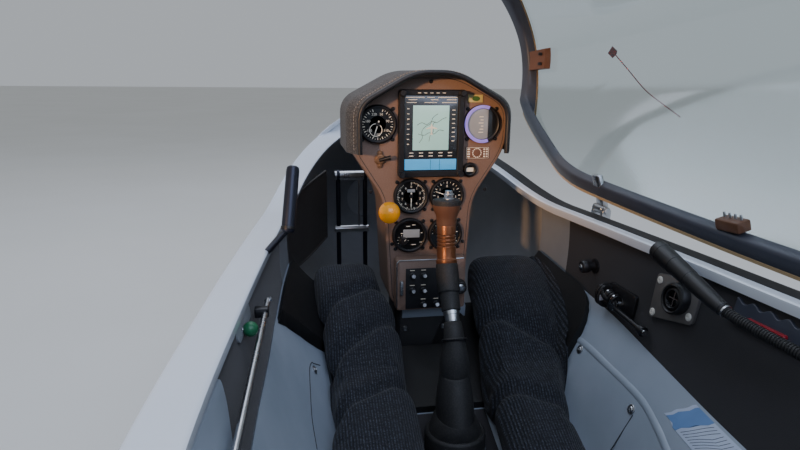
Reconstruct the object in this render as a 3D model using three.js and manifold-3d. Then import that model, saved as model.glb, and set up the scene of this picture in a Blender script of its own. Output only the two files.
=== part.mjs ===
// Sailplane cockpit section: the forward fuselage with the front seat and its open canopy.
// Millimetres. +Y points to the nose, +X to the pilot's right, +Z up.
// The origin lies on the rear frame's flat face, at sill height on the centre plane.

import * as THREE from 'three';
import Module from 'manifold-3d';
import { mergeVertices } from 'three/addons/utils/BufferGeometryUtils.js';

const wasm = await Module();
wasm.setup();

// Fuselage body, one smooth egg cut by the canopy joint.
// Columns: y, half width at the waist, crown height, waist height, keel height.
const BODY = [
  [0, 336, 408, -100, -452],
  [350, 347, 428, -100, -468],
  [700, 342, 398, -100, -470],
  [950, 324, 360, -100, -462],
  [1150, 305, 328, -100, -447],
  [1350, 283, 284, -101, -425],
  [1550, 257, 229, -104, -396],
  [1750, 224, 171, -110, -360],
  [1900, 188, 112, -118, -326],
  [2050, 143, 38, -130, -286],
  [2150, 105, -22, -140, -254],
  [2230, 66, -80, -150, -222],
  [2280, 32, -124, -160, -192],
  [2300, 6, -158, -166, -173],
];
const UPPER_ROUNDNESS = 2.0;
const LOWER_ROUNDNESS = 2.35;
const SECTION_POINTS = 36;
const SKIN = 9;
const SKIN_CORE = 8.6;
const FLANGE_WIDTH = 42;
const FLANGE_DEPTH = 14;
const FRAME_PLATE = 12;
const SEAT_GAP = 0.3;

// Canopy joint: level along the sills, then rising as [y, z] and arched over the nose deck.
const OPENING_REAR = 70;
const JOINT_LINE = [[1380, 0], [1460, 12], [1550, 38], [1680, 72], [1840, 116]];
const FRONT_CURVE = { y: 1350, reach: 450, halfWidth: 278, roundness: 2.3 };
const CANOPY_GAP = 2;
const ARCH_GAP = 3;
const ARCH_ROOM = 9;
const ARCH_SET_BACK = 15;
const ARCH_WIDTH = 36;
const RAIL_HEIGHT = 18;
const CANOPY_BAR_DEPTH = 25;
const GLASS = 4.5;

// Canopy hinge line, outboard of the right sill and turned in to follow it.
const HINGE = { x: 336, y: 750, z: 4, turn: THREE.MathUtils.degToRad(4) };
const CANOPY_OPEN = THREE.MathUtils.degToRad(76);
const HINGE_STATIONS = [450, 1300];
const HINGE_PARTS = { knuckle: 11, ear: 8, gap: 0.6 };
const RAIL_LOCK = [985, 1027];
// Yaw string on the canopy, as [x, y] on the closed canopy.
const YAW_STRING = [[58, 1540], [97, 1494], [138, 1435], [164, 1380], [187, 1323]];

// Seat tub. Columns: y, floor half width, floor height, ledge x, ledge z, edge x, edge z.
const SEAT_TUB = [
  [470, 172, -345, 224, -208, 252, -180],
  [600, 180, -366, 226, -208, 252, -178],
  [750, 182, -370, 226, -205, 252, -174],
  [900, 184, -358, 224, -199, 251, -161],
  [1030, 184, -333, 221, -190, 250, -143],
  [1150, 180, -296, 219, -174, 250, -127],
  [1300, 172, -233, 212, -152, 243, -112],
  [1400, 166, -192, 204, -138, 232, -98],
];
// The tub's left wall rises higher. Columns: y, ledge x, ledge z, edge z.
const LEFT_LEDGE = [
  [470, 240, -190, -150],
  [600, 241, -182, -128],
  [750, 242, -175, -109],
  [900, 241, -168, -103],
  [1030, 238, -160, -105],
  [1150, 231, -150, -107],
  [1300, 221, -136, -104],
  [1400, 209, -127, -96],
];
const TUB_STATIONS = [470, 600, 750, 900, 1030, 1130, 1180, 1300, 1345, 1386];
const TUB_THICKNESS = 4;
const WELL_RADIUS = 45;
const LINING_STATIONS = [120, 300, ...TUB_STATIONS, 1400];
const LINING_SET_BACK = 6;
const LINING_SHEET = 5;
const LINING_OVERLAP = 8;
const LINING_FRONT = 1306;
const BACK_LINE = [[500, -361], [150, 66], [FRAME_PLATE + 6, 148]];
const BACK_SHEET = 10;
const BACK_PAD = 42;
const HEADREST = [
  [FRAME_PLATE + SEAT_GAP, 190], [60, 176], [72, 200], [72, 262], [58, 282], [FRAME_PLATE + SEAT_GAP, 290],
];
// Columns as the thigh cushions.
const SEAT_CUSHION = [
  [545, 0, 140, -318, 40],
  [590, 0, 160, -312, 60],
  [850, 0, 160, -310, 60],
  [896, 0, 146, -326, 40],
];
const THIGH_PAD = 11;
const THIGH_PAD_REAR = 1180;
// Further back, the thigh pad covers only the left ledge, behind a slanted edge given as [x, y].
const THIGH_PAD_CORNER = {
  y: 1130,
  edge: [[-300, 1131], [-252, 1152], [-239, 1183], [-218, 1217], [-181, 1260], [-170, 1180]],
};

// Cushions along each thigh. Columns: y, centre x, half width, top height, thickness.
const LEFT_CUSHION = [
  [905, -122, 64, -318, 30],
  [960, -127, 73, -284, 72],
  [1120, -118, 70, -216, 92],
  [1180, -119, 71, -202, 94],
  [1260, -121, 68, -140, 108],
  [1325, -134, 61, -105, 111],
  [1410, -136, 60, -90, 90],
];
// Columns as above.
const RIGHT_CUSHION = [
  [905, 106, 58, -318, 30],
  [960, 109, 62, -284, 72],
  [1120, 115, 67, -216, 92],
  [1180, 130, 80, -202, 94],
  [1260, 146, 80, -140, 108],
  [1340, 156, 76, -96, 112],
  [1410, 158, 70, -88, 90],
];

// Instrument pod, seen from the seat. The face is an upright plane.
const FACE_Y = 1327;
const POD_DEPTH = 112;
const HOOD_LIP_Y = 1290;
const HOOD_SHEET = 6;
const POD_OUTLINE = [
  [-42.7, 224.7], [42.7, 224.7], [129.7, 178.7], [129.7, 108], [75, 23], [70, -70], [64, -163],
  [-64, -163], [-70, -70], [-75, 23], [-129.7, 108], [-129.7, 178.7],
];
// Hood sections. Columns: y, top half width, top z, shoulder x, shoulder z, skirt z.
const HOOD = [
  [HOOD_LIP_Y, 33, 231, 121, 180, 103],
  [1322, 46, 231, 136, 182, 103],
  [1445, 46, 231, 136, 182, 103],
  [1560, 40, 178, 112, 138, 84],
  [1622, 30, 132, 88, 104, 72],
];
const BEZEL = 31;
const BEZEL_DEPTH = 8;

// Control stick.
const STICK_PIVOT = { y: 1120, z: -340 };
const STICK_AXIS = [
  [0, 1120, -340], [0, 1127, -270], [0, 1132, -205], [0, 1138, -152], [0, 1158, -118],
];
const GRIP_AXIS = [
  [0, 1158.5, -117], [0, 1184, -76], [0, 1199, -40], [0, 1204, 0], [0, 1206, 34],
];

// Rudder pedals.
const PEDAL = { pivotY: 1655, pivotZ: -292, barZ: 12, midZ: -106, inner: 58, outer: 134 };

// Foot pocket on the left wall. Columns: y, inner x, lower edge, upper edge.
const SIDE_POCKET = [
  [1400.3, -237, -104, -16],
  [1480, -226, -140, -8],
  [1560, -190, -136, 10],
  [1628, -151, -116, 26],
];
const POCKET_SHEET = 5;

const FINISH = {
  gelcoat: { color: 0xe9edf2, roughness: 0.25, metalness: 0 },
  lining: { color: 0x2f2e30, roughness: 0.85, metalness: 0 },
  tub: { color: 0x9fa9b6, roughness: 0.55, metalness: 0 },
  panel: { color: 0x4d4038, roughness: 0.6, metalness: 0.1 },
  hood: { color: 0x2b2826, roughness: 0.8, metalness: 0 },
  knit: { color: 0x15181f, roughness: 0.95, metalness: 0 },
  black: { color: 0x141414, roughness: 0.5, metalness: 0 },
  rubber: { color: 0x101010, roughness: 0.8, metalness: 0 },
  bronze: { color: 0x7a4b2c, roughness: 0.5, metalness: 0.3 },
  steel: { color: 0xb4b6b8, roughness: 0.35, metalness: 1 },
  anodised: { color: 0x1b2238, roughness: 0.4, metalness: 0.8 },
  yellow: { color: 0xffa60a, roughness: 0.35, metalness: 0 },
  green: { color: 0x1e7a46, roughness: 0.4, metalness: 0 },
  frame: { color: 0x3a3c48, roughness: 0.5, metalness: 0 },
  glass: { color: 0xdfe8ea, roughness: 0.05, metalness: 0, transparent: true, opacity: 0.3 },
  screen: { color: 0xa9cfc9, roughness: 0.2, metalness: 0 },
  grey: { color: 0x8d9197, roughness: 0.6, metalness: 0 },
  red: { color: 0xb3121a, roughness: 0.6, metalness: 0 },
};

const root = new THREE.Group();
const canopy = new THREE.Group();
root.add(canopy);

// Shape helpers

function interpolate(table, column, y) {
  const last = table.length - 1;
  if (y <= table[0][0]) return table[0][column];
  if (y >= table[last][0]) return table[last][column];
  let i = 0;
  while (table[i + 1][0] < y) i += 1;
  const slope = (k) => {
    const a = Math.max(k - 1, 0);
    const b = Math.min(k + 1, last);
    return (table[b][column] - table[a][column]) / (table[b][0] - table[a][0]);
  };
  const span = table[i + 1][0] - table[i][0];
  const t = (y - table[i][0]) / span;
  const rise = table[i + 1][column] - table[i][column];
  const start = slope(i) * span;
  const end = slope(i + 1) * span;
  return table[i][column] + start * t + (3 * rise - 2 * start - end) * t * t
    + (start + end - 2 * rise) * t * t * t;
}

function stripped(geometry) {
  const bare = new THREE.BufferGeometry();
  bare.setAttribute('position', geometry.getAttribute('position').clone());
  if (geometry.index) bare.setIndex(geometry.index.clone());
  return mergeVertices(bare, 1e-4);
}

function volumeOf(geometry) {
  const p = geometry.getAttribute('position');
  const index = geometry.index;
  const a = new THREE.Vector3();
  const b = new THREE.Vector3();
  const c = new THREE.Vector3();
  let sum = 0;
  for (let i = 0; i < index.count; i += 3) {
    a.fromBufferAttribute(p, index.getX(i));
    b.fromBufferAttribute(p, index.getX(i + 1));
    c.fromBufferAttribute(p, index.getX(i + 2));
    sum += a.dot(b.cross(c)) / 6;
  }
  return sum;
}

function outward(geometry) {
  if (volumeOf(geometry) > 0) return geometry;
  const index = geometry.index;
  for (let i = 0; i < index.count; i += 3) {
    const first = index.getX(i);
    index.setX(i, index.getX(i + 1));
    index.setX(i + 1, first);
  }
  return geometry;
}

// A closed body through rings of [x, y, z] points; the ends are flat faces seen along Y.
function loft(rings) {
  const count = rings[0].length;
  const positions = rings.flat(2);
  const index = [];
  for (let r = 0; r + 1 < rings.length; r += 1) {
    for (let k = 0; k < count; k += 1) {
      const a = r * count + k;
      const b = r * count + (k + 1) % count;
      index.push(a, b, a + count, b, b + count, a + count);
    }
  }
  const capFace = (ring, offset, turned) => {
    const flat = ring.map(([x, , z]) => new THREE.Vector2(x, z));
    for (const [a, b, c] of THREE.ShapeUtils.triangulateShape(flat, [])) {
      if (turned) index.push(offset + a, offset + c, offset + b);
      else index.push(offset + a, offset + b, offset + c);
    }
  };
  const ccw = THREE.ShapeUtils.area(rings[0].map(([x, , z]) => new THREE.Vector2(x, z))) > 0;
  capFace(rings[0], 0, ccw);
  capFace(rings[rings.length - 1], (rings.length - 1) * count, !ccw);
  const geometry = new THREE.BufferGeometry();
  geometry.setAttribute('position', new THREE.Float32BufferAttribute(positions, 3));
  geometry.setIndex(index);
  return outward(geometry);
}

function solid(geometry) {
  const shared = outward(stripped(geometry));
  return new wasm.Manifold(new wasm.Mesh({
    numProp: 3,
    vertProperties: new Float32Array(shared.getAttribute('position').array),
    triVerts: new Uint32Array(shared.index.array),
  }));
}

function geometryOf(body) {
  const mesh = body.getMesh();
  const geometry = new THREE.BufferGeometry();
  geometry.setAttribute('position', new THREE.BufferAttribute(mesh.vertProperties, 3));
  geometry.setIndex(new THREE.BufferAttribute(mesh.triVerts, 1));
  return geometry;
}

function joined(...geometries) {
  return geometryOf(geometries.map(solid).reduce((whole, piece) => whole.add(piece)));
}

function cut(base, ...cutters) {
  return geometryOf(cutters.map(solid).reduce((whole, piece) => whole.subtract(piece), solid(base)));
}

function box(x0, x1, y0, y1, z0, z1) {
  const geometry = new THREE.BoxGeometry(x1 - x0, y1 - y0, z1 - z0);
  return geometry.translate((x0 + x1) / 2, (y0 + y1) / 2, (z0 + z1) / 2);
}

// A round bar between two points.
function bar(from, to, radius, endRadius = radius, sides = 16) {
  const a = new THREE.Vector3(...from);
  const b = new THREE.Vector3(...to);
  const geometry = new THREE.CylinderGeometry(endRadius, radius, a.distanceTo(b), sides);
  const along = b.clone().sub(a).normalize();
  const turn = new THREE.Quaternion().setFromUnitVectors(new THREE.Vector3(0, 1, 0), along);
  return geometry.applyQuaternion(turn).translate(...a.add(b).multiplyScalar(0.5).toArray());
}

function ball(at, radius, sides = 16) {
  return new THREE.SphereGeometry(radius, sides, sides / 2).translate(...at);
}

// A bent round bar through points.
function rod(points, radius, steps = 20, sides = 10) {
  const circle = new THREE.Shape(Array.from({ length: sides }, (_, k) => {
    const angle = 2 * Math.PI * k / sides;
    return new THREE.Vector2(radius * Math.cos(angle), radius * Math.sin(angle));
  }));
  const path = new THREE.CatmullRomCurve3(points.map((p) => new THREE.Vector3(...p)));
  return new THREE.ExtrudeGeometry(circle, { steps, extrudePath: path });
}

// An outline in [x, z], pushed from y0 to y1.
function upright(outline, y0, y1) {
  const shape = new THREE.Shape(outline.map(([x, z]) => new THREE.Vector2(x, z)));
  const geometry = new THREE.ExtrudeGeometry(shape, { depth: y1 - y0, bevelEnabled: false });
  return geometry.rotateX(Math.PI / 2).translate(0, y1, 0);
}

// An outline in [x, y], pushed from z0 to z1.
function level(outline, z0, z1) {
  const shape = new THREE.Shape(outline.map(([x, y]) => new THREE.Vector2(x, y)));
  return new THREE.ExtrudeGeometry(shape, { depth: z1 - z0, bevelEnabled: false }).translate(0, 0, z0);
}

// An outline in [y, z], pushed from x0 to x1.
function sideways(outline, x0, x1) {
  const shape = new THREE.Shape(outline.map(([y, z]) => new THREE.Vector2(y, z)));
  const geometry = new THREE.ExtrudeGeometry(shape, { depth: x1 - x0, bevelEnabled: false });
  return geometry.rotateX(Math.PI / 2).rotateZ(Math.PI / 2).translate(x0, 0, 0);
}

function add(name, geometry, finish, parent = root) {
  const ready = outward(stripped(geometry));
  ready.computeVertexNormals();
  const mesh = new THREE.Mesh(ready, new THREE.MeshStandardMaterial(FINISH[finish]));
  mesh.name = name;
  parent.add(mesh);
  return mesh;
}

// Fuselage body

function bodyRing(y, inset, samples = SECTION_POINTS) {
  const half = interpolate(BODY, 1, y) - inset;
  const crown = interpolate(BODY, 2, y) - inset;
  const waist = interpolate(BODY, 3, y);
  const keel = interpolate(BODY, 4, y) + inset;
  const ring = [];
  for (let k = 0; k < samples; k += 1) {
    const angle = 2 * Math.PI * k / samples;
    const c = Math.cos(angle);
    const s = Math.sin(angle);
    const power = 2 / (s >= 0 ? UPPER_ROUNDNESS : LOWER_ROUNDNESS);
    const x = half * Math.sign(c) * Math.abs(c) ** power;
    const reach = s >= 0 ? crown - waist : waist - keel;
    ring.push([x, y, waist + reach * Math.sign(s) * Math.abs(s) ** power]);
  }
  return ring;
}

function bodyStations(from, to) {
  const stations = [from];
  const marks = BODY.flatMap(([y], i) => (i + 1 < BODY.length ? [y, (y + BODY[i + 1][0]) / 2] : [y]));
  for (const y of marks) if (y > from + 5 && y < to - 5) stations.push(y);
  stations.push(to);
  return stations;
}

function egg(inset, from, to) {
  return loft(bodyStations(from, to).map((y) => bodyRing(y, inset)));
}

// Half width of the body at a height, inside its skin by the inset.
function halfWidthAt(y, z, inset) {
  const half = interpolate(BODY, 1, y) - inset;
  const waist = interpolate(BODY, 3, y);
  const upper = z >= waist;
  const reach = upper ? interpolate(BODY, 2, y) - inset - waist : waist - interpolate(BODY, 4, y) - inset;
  const power = upper ? UPPER_ROUNDNESS : LOWER_ROUNDNESS;
  const share = Math.min(Math.abs(z - waist) / reach, 1);
  return half * (1 - share ** power) ** (1 / power);
}

// Everything above the canopy joint, drawn in by an inset at the ends and a lift from the sills.
function canopySpace(inset, lift = inset) {
  const front = JOINT_LINE[JOINT_LINE.length - 1][0];
  const side = sideways([
    [OPENING_REAR + inset, lift], ...JOINT_LINE.map(([y, z]) => [y, z + lift]),
    [front, 700], [OPENING_REAR + inset, 700],
  ], -420, 420);
  const { y: start, reach, halfWidth, roundness } = FRONT_CURVE;
  const plan = [[420, OPENING_REAR - 100], [420, start - inset]];
  const steps = 24;
  for (let k = 0; k <= steps; k += 1) {
    const angle = Math.PI * k / steps;
    const c = Math.cos(angle);
    const across = halfWidth * Math.sign(c) * Math.abs(c) ** (2 / roundness);
    plan.push([across, start - inset + reach * Math.sin(angle) ** (2 / roundness)]);
  }
  plan.push([-420, start - inset], [-420, OPENING_REAR - 100]);
  return solid(side).intersect(solid(level(plan, -40, 720)));
}

function shell(outer, inner, from, to) {
  const core = egg(inner, from - 60, to - 1.6 * inner);
  return solid(egg(outer, from, to)).subtract(solid(core));
}

const noseTip = BODY[BODY.length - 1][0];
const insideOfSkin = solid(egg(SKIN + SEAT_GAP, -60, noseTip - 30));

// Height of the body's upper surface over a point of the plan.
function crownAt(x, y) {
  const half = interpolate(BODY, 1, y);
  const waist = interpolate(BODY, 3, y);
  const reach = interpolate(BODY, 2, y) - waist;
  return waist + reach * (1 - Math.abs(x / half) ** UPPER_ROUNDNESS) ** (1 / UPPER_ROUNDNESS);
}

// Keeps what lies inside the fuselage skin.
function insideSkin(geometry) {
  return geometryOf(solid(geometry).intersect(insideOfSkin));
}

function makeHull() {
  const start = FRAME_PLATE + SEAT_GAP;
  const skin = shell(0, SKIN, start, noseTip).subtract(canopySpace(0));
  const rim = shell(SKIN_CORE, FLANGE_WIDTH, start, noseTip - 60)
    .intersect(canopySpace(-ARCH_ROOM - FLANGE_DEPTH, -FLANGE_DEPTH)).subtract(canopySpace(-ARCH_ROOM, 0));
  add('hull_shell', geometryOf(skin.add(rim)), 'gelcoat');
  const plate = solid(loft([bodyRing(0, 0), bodyRing(FRAME_PLATE, 0)]));
  add('rear_frame', geometryOf(plate), 'gelcoat');
}

// Inner face of a side lining at a station: its top and foot. Both sides lie in like planes.
function liningFace(y, side) {
  const topX = halfWidthAt(y, -FLANGE_DEPTH, FLANGE_WIDTH) + LINING_SET_BACK;
  const topZ = -FLANGE_DEPTH - SEAT_GAP;
  const rightX = interpolate(SEAT_TUB, 5, y) + SEAT_GAP;
  const rightZ = interpolate(SEAT_TUB, 6, y) - LINING_OVERLAP;
  if (side > 0) return { topX, topZ, footX: rightX, footZ: rightZ };
  const footZ = interpolate(LEFT_LEDGE, 3, y) - LINING_OVERLAP;
  const share = (footZ - topZ) / (rightZ - topZ);
  return { topX, topZ, footX: topX + share * (rightX - topX), footZ };
}

// Side linings run from below the sill down past the seat tub's edge, in a dark and a light length.
function makeLinings() {
  for (const [name, side] of [['left', -1], ['right', 1]]) {
    const rings = LINING_STATIONS.map((y) => {
      const { topX, topZ, footX, footZ } = liningFace(y, side);
      return [
        [side * (topX - 20), y, topZ], [side * (topX + LINING_SHEET), y, topZ],
        [side * (footX + LINING_SHEET), y, footZ], [side * (footX - 20), y, footZ],
      ];
    });
    const whole = solid(loft(rings)).subtract(cabin(0)).intersect(insideOfSkin);
    const length = (from, to) => geometryOf(whole.intersect(solid(box(-400, 400, from, to, -400, 100))));
    add(`lining_${name}`, length(0, LINING_FRONT), 'lining');
    add(`side_wall_${name}`, length(LINING_FRONT + SEAT_GAP, 1500), 'grey');
  }
}

// The room between the linings, shrunk by an inset.
function cabin(inset) {
  const rings = LINING_STATIONS.map((y) => {
    const wall = (side) => {
      const { topX, topZ, footX, footZ } = liningFace(y, side);
      const line = [[topX - inset, 300], [topX - inset, topZ], [footX - inset, footZ], [footX - inset, -500]];
      return line.map(([x, z]) => [side * x, y, z]);
    };
    return [...wall(1), ...wall(-1).reverse()];
  });
  return solid(loft(rings));
}

// Keeps what lies inboard of the linings.
function insideCabin(geometry) {
  return geometryOf(solid(geometry).intersect(cabin(SEAT_GAP)));
}

// A plate that lies on one lining, within an outline of [y, z].
function wallShape(side, outline, thickness) {
  const layer = cabin(SEAT_GAP).subtract(cabin(SEAT_GAP + thickness));
  const window = side > 0 ? sideways(outline, 150, 400) : sideways(outline, -400, -150);
  return geometryOf(layer.intersect(solid(window)));
}

function wallPlate(side, y0, y1, z0, z1, thickness) {
  return wallShape(side, [[y0, z0], [y1, z0], [y1, z1], [y0, z1]], thickness);
}

// Seat

function tubLine(y, lift) {
  const [floorHalf, floorZ, ledgeX, ledgeZ, edgeX, edgeZ] = [1, 2, 3, 4, 5, 6]
    .map((column) => interpolate(SEAT_TUB, column, y));
  const corner = 30;
  const floor = [[floorHalf - corner, floorZ], [floorHalf, floorZ + corner]];
  const right = [...floor, [ledgeX, ledgeZ], [edgeX, edgeZ]];
  const left = [
    ...floor, [interpolate(LEFT_LEDGE, 1, y), interpolate(LEFT_LEDGE, 2, y)],
    [liningFace(y, -1).footX - SEAT_GAP, interpolate(LEFT_LEDGE, 3, y)],
  ];
  const line = [...left.map(([x, z]) => [-x, z]).reverse(), ...right];
  return line.map(([x, z]) => [x - Math.sign(x) * lift * 0.6, y, z + lift]);
}

function tubSheet(stations, top, bottom) {
  return loft(stations.map((y) => [...tubLine(y, top), ...tubLine(y, bottom).reverse()]));
}

// Everything below the tub's upper face, raised by a lift.
function underSeatLine(stations, lift) {
  return loft(stations.map((y) => {
    const line = tubLine(y, lift);
    const [x, , z] = line[line.length - 1];
    const [leftX, , leftZ] = line[0];
    return [
      ...line, [x + 40, y, z], [x + 40, y, z - 400], [leftX - 40, y, z - 400], [leftX - 40, y, leftZ],
    ];
  }));
}

// Cuts a soft piece so that it rests on the tub and on the thigh pad.
function restedOnSeat(geometry) {
  return cut(
    geometry,
    underSeatLine(TUB_STATIONS.filter((y) => y <= THIGH_PAD_REAR), SEAT_GAP),
    underSeatLine(TUB_STATIONS.filter((y) => y >= THIGH_PAD_REAR), THIGH_PAD + 2 * SEAT_GAP),
  );
}

// A strip between two distances from a line of [y, z] points.
function alongLine(line, from, to) {
  const offset = (distance) => line.map(([y, z], i) => {
    const a = line[Math.max(i - 1, 0)];
    const b = line[Math.min(i + 1, line.length - 1)];
    const length = Math.hypot(b[0] - a[0], b[1] - a[1]);
    return [y + distance * (b[1] - a[1]) / length, z - distance * (b[0] - a[0]) / length];
  });
  return [...offset(from), ...offset(to).reverse()];
}

function makeSeat() {
  const wellY = STICK_PIVOT.y + 1;
  const stickHole = bar([0, wellY, -420], [0, wellY, -200], WELL_RADIUS, WELL_RADIUS, 32);
  const podNotch = box(-66, 66, FACE_Y - 31, 1440, -420, 0);
  const tub = tubSheet(TUB_STATIONS, 0, -TUB_THICKNESS);
  add('seat_tub', insideCabin(cut(tub, stickHole, podNotch)), 'tub');

  const padTop = SEAT_GAP + THIGH_PAD;
  const padStations = TUB_STATIONS.filter((y) => y >= THIGH_PAD_CORNER.y);
  const behindPad = level([
    [300, 1000], [300, THIGH_PAD_REAR], ...[...THIGH_PAD_CORNER.edge].reverse(), [-300, 1000],
  ], -500, 0);
  const pad = cut(tubSheet(padStations, padTop, -THIGH_PAD), underSeatLine(padStations, SEAT_GAP), behindPad);
  add('thigh_support', insideCabin(cut(pad, stickHole, podNotch)), 'black');

  const back = sideways(alongLine(BACK_LINE, -BACK_SHEET, 0), -190, 190);
  add('seat_back', insideSkin(restedOnSeat(back)), 'tub');
  add('headrest', sideways(HEADREST, -95, 95), 'black');

  add('thigh_cushion_left', insideCabin(restedOnSeat(padded(LEFT_CUSHION))), 'knit');
  add('thigh_cushion_right', insideCabin(restedOnSeat(padded(RIGHT_CUSHION))), 'knit');
  add('seat_cushion', restedOnSeat(padded(SEAT_CUSHION)), 'knit');
  const backPad = BACK_LINE.slice(0, 2).map(([y, z], i) => (i ? [y, z] : [y - 40, z + 49]));
  add('back_cushion', sideways(alongLine(backPad, SEAT_GAP, BACK_PAD), -165, 165), 'knit');
}

// A cushion with rounded long edges, through rows of a cushion table.
function padded(rows) {
  return loft(rows.map(([y, x, half, top, thick]) => [
    [x - half, y, top - 16], [x - half + 14, y, top], [x + half - 14, y, top], [x + half, y, top - 16],
    [x + half, y, top - thick + 6], [x + half - 10, y, top - thick],
    [x - half + 10, y, top - thick], [x - half, y, top - thick + 6],
  ]));
}

// Control stick and its roll tube

function makeStick() {
  const tubeEnds = [1072, 1196];
  const rollTube = bar([0, tubeEnds[0], STICK_PIVOT.z], [0, STICK_PIVOT.y - 18, STICK_PIVOT.z], 12);
  const frontTube = bar([0, STICK_PIVOT.y + 18, STICK_PIVOT.z], [0, tubeEnds[1], STICK_PIVOT.z], 12);
  const cheek = (side) => box(side * 15 - 3, side * 15 + 3, STICK_PIVOT.y - 26, STICK_PIVOT.y + 26,
    STICK_PIVOT.z - 14, STICK_PIVOT.z + 14);
  const bridge = (y) => box(-18, 18, y - 4, y + 4, STICK_PIVOT.z - 14, STICK_PIVOT.z + 14);
  const bridges = [bridge(STICK_PIVOT.y - 22), bridge(STICK_PIVOT.y + 22)];
  const yoke = joined(rollTube, frontTube, cheek(-1), cheek(1), ...bridges);
  add('roll_tube', yoke, 'steel');

  const post = (y) => box(-20, 20, y - 6, y + 6, -460, STICK_PIVOT.z + 14);
  const bearings = joined(post(tubeEnds[0] + 9), post(tubeEnds[1] - 9), box(-20, 20, 1075, 1193, -460, -424));
  const bore = bar([0, 1000, STICK_PIVOT.z], [0, 1240, STICK_PIVOT.z], 12 + SEAT_GAP);
  add('stick_bearings', insideSkin(cut(bearings, bore)), 'steel');

  const eye = bar([-11.6, STICK_PIVOT.y, STICK_PIVOT.z], [11.6, STICK_PIVOT.y, STICK_PIVOT.z], 11);
  add('stick_tube', joined(rod(STICK_AXIS, 10, 16), eye), 'steel');

  const cuff = new THREE.LatheGeometry([
    [0, 4], [15, 4], [17, 0], [16, -8], [19, -26], [21, -50], [19.5, -50], [17, -26], [12, -10], [0, -10],
  ].map(([x, y]) => new THREE.Vector2(x, y)), 20).rotateX(Math.PI / 2).rotateX(-0.06);
  const cuffPlaced = cuff.translate(0, 1138.6, -148);
  const neck = rod([[0, 1137.6, -156], [0, 1144.5, -140], [0, 1154, -124.5]], 14.5, 8, 16);
  add('gaiter_cuff', cut(joined(cuffPlaced, neck), rod(STICK_AXIS, 10 + 3 * SEAT_GAP, 16)), 'rubber');

  const outer = WELL_RADIUS - SEAT_GAP;
  const base = new THREE.LatheGeometry([
    [37, 0], [outer, 0], [outer, 40], [outer - 3, 44], [37, 44], [37, 0],
  ].map(([x, y]) => new THREE.Vector2(x, y)), 32).rotateX(Math.PI / 2);
  add('gaiter_base', base.translate(0, STICK_PIVOT.y + 1, -320), 'rubber');

  const grip = joined(
    rod(GRIP_AXIS, 14.5, 16, 14),
    bar([0, 1158.5, -117], [0, 1172, -95], 18, 16.5),
    bar([0, 1205, 28], [0, 1207, 46], 20.5, 20.5, 20),
    bar([0, 1207, 44], [0, 1215, 62], 15, 12),
  );
  add('stick_grip', grip, 'bronze');
}

// Instrument pod

function hoodOutline([y, topHalf, topZ, shoulderX, shoulderZ, skirtZ], inset, drop) {
  const k = inset;
  const right = [
    [topHalf - 0.5 * k, topZ - k], [shoulderX - k, shoulderZ - 0.5 * k], [shoulderX - k, skirtZ - drop],
  ];
  return [...right, ...right.map(([x, z]) => [-x, z]).reverse()].map(([x, z]) => [x, y, z]);
}

function makePod() {
  add('pod_body', upright(POD_OUTLINE, FACE_Y, FACE_Y + POD_DEPTH), 'panel');

  const outer = loft(HOOD.map((row) => hoodOutline(row, 0, 0)));
  const innerRows = HOOD.map((row) => [...row]);
  innerRows[0][0] -= 20;
  innerRows[innerRows.length - 1][0] -= HOOD_SHEET;
  const inner = loft(innerRows.map((row) => hoodOutline(row, HOOD_SHEET, 30)));
  add('pod_hood', cut(outer, inner), 'hood');

  const column = box(-52, 52, FACE_Y + 14, FACE_Y + 98, -470, POD_OUTLINE[6][1] - SEAT_GAP);
  add('pod_column', insideSkin(column), 'grey');

  const faceFront = FACE_Y - SEAT_GAP;
  const dial = (x, z, radius, depth = BEZEL_DEPTH) => bar([x, faceFront, z], [x, faceFront - depth, z],
    radius, radius * 0.95, 28);
  const instruments = [
    ['airspeed_indicator', -86, 147, BEZEL], ['vario_display', 86, 147, BEZEL],
    ['altimeter', -30.2, 29.5, 29.6], ['needle_vario', 30.2, 29.5, 29.6],
    ['radio', -32, -37, 29.6], ['transponder', 29, -37, 29.6], ['flight_display_small', 68, 72, 12],
  ];
  for (const [name, x, z, radius] of instruments) add(name, dial(x, z, radius), 'black');

  const mapKnobs = [[-49, 67], [49, 67], [-49, 197], [49, 197]]
    .map(([x, z]) => bar([x, faceFront - 12, z], [x, faceFront - 24, z], 5.5, 5, 12));
  const mapUnit = joined(box(-54, 54, faceFront - 14, faceFront, 62, 202), ...mapKnobs);
  add('map_display', mapUnit, 'black');

  const handle = bar([-82, faceFront - 8, 91], [-66, faceFront - 12, 84], 3.2, 4.2, 10);
  const valve = joined(dial(-82, 91, 9, 10), handle);
  add('selector_valve', valve, 'steel');
  add('plate_upper', box(61, 87, faceFront - 1.6, faceFront, 181, 194), 'grey');
  add('plate_lower', box(60, 102, faceFront - 1.6, faceFront, 89, 110), 'grey');

  const boxFront = FACE_Y - 27;
  const toggles = [[-31, -101], [-12, -101], [-31, -127], [-12, -127], [-12, -152]];
  const switches = joined(
    box(-58, 62, boxFront, FACE_Y - SEAT_GAP, -163, -72),
    ...toggles.map(([x, z]) => bar([x, boxFront + 1, z], [x, boxFront - 14, z + 4], 3, 3.6, 8)),
    bar([49, boxFront + 1, -122], [49, boxFront - 16, -122], 12, 11, 16),
  );
  add('switch_panel', switches, 'panel');

  const knob = joined(ball([-73, 1283, 12], 17.5, 20), bar([-68, faceFront, 11], [-68, 1288, 11], 4, 4, 10));
  add('release_knob', knob, 'yellow');
}

// Rudder pedals

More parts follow.
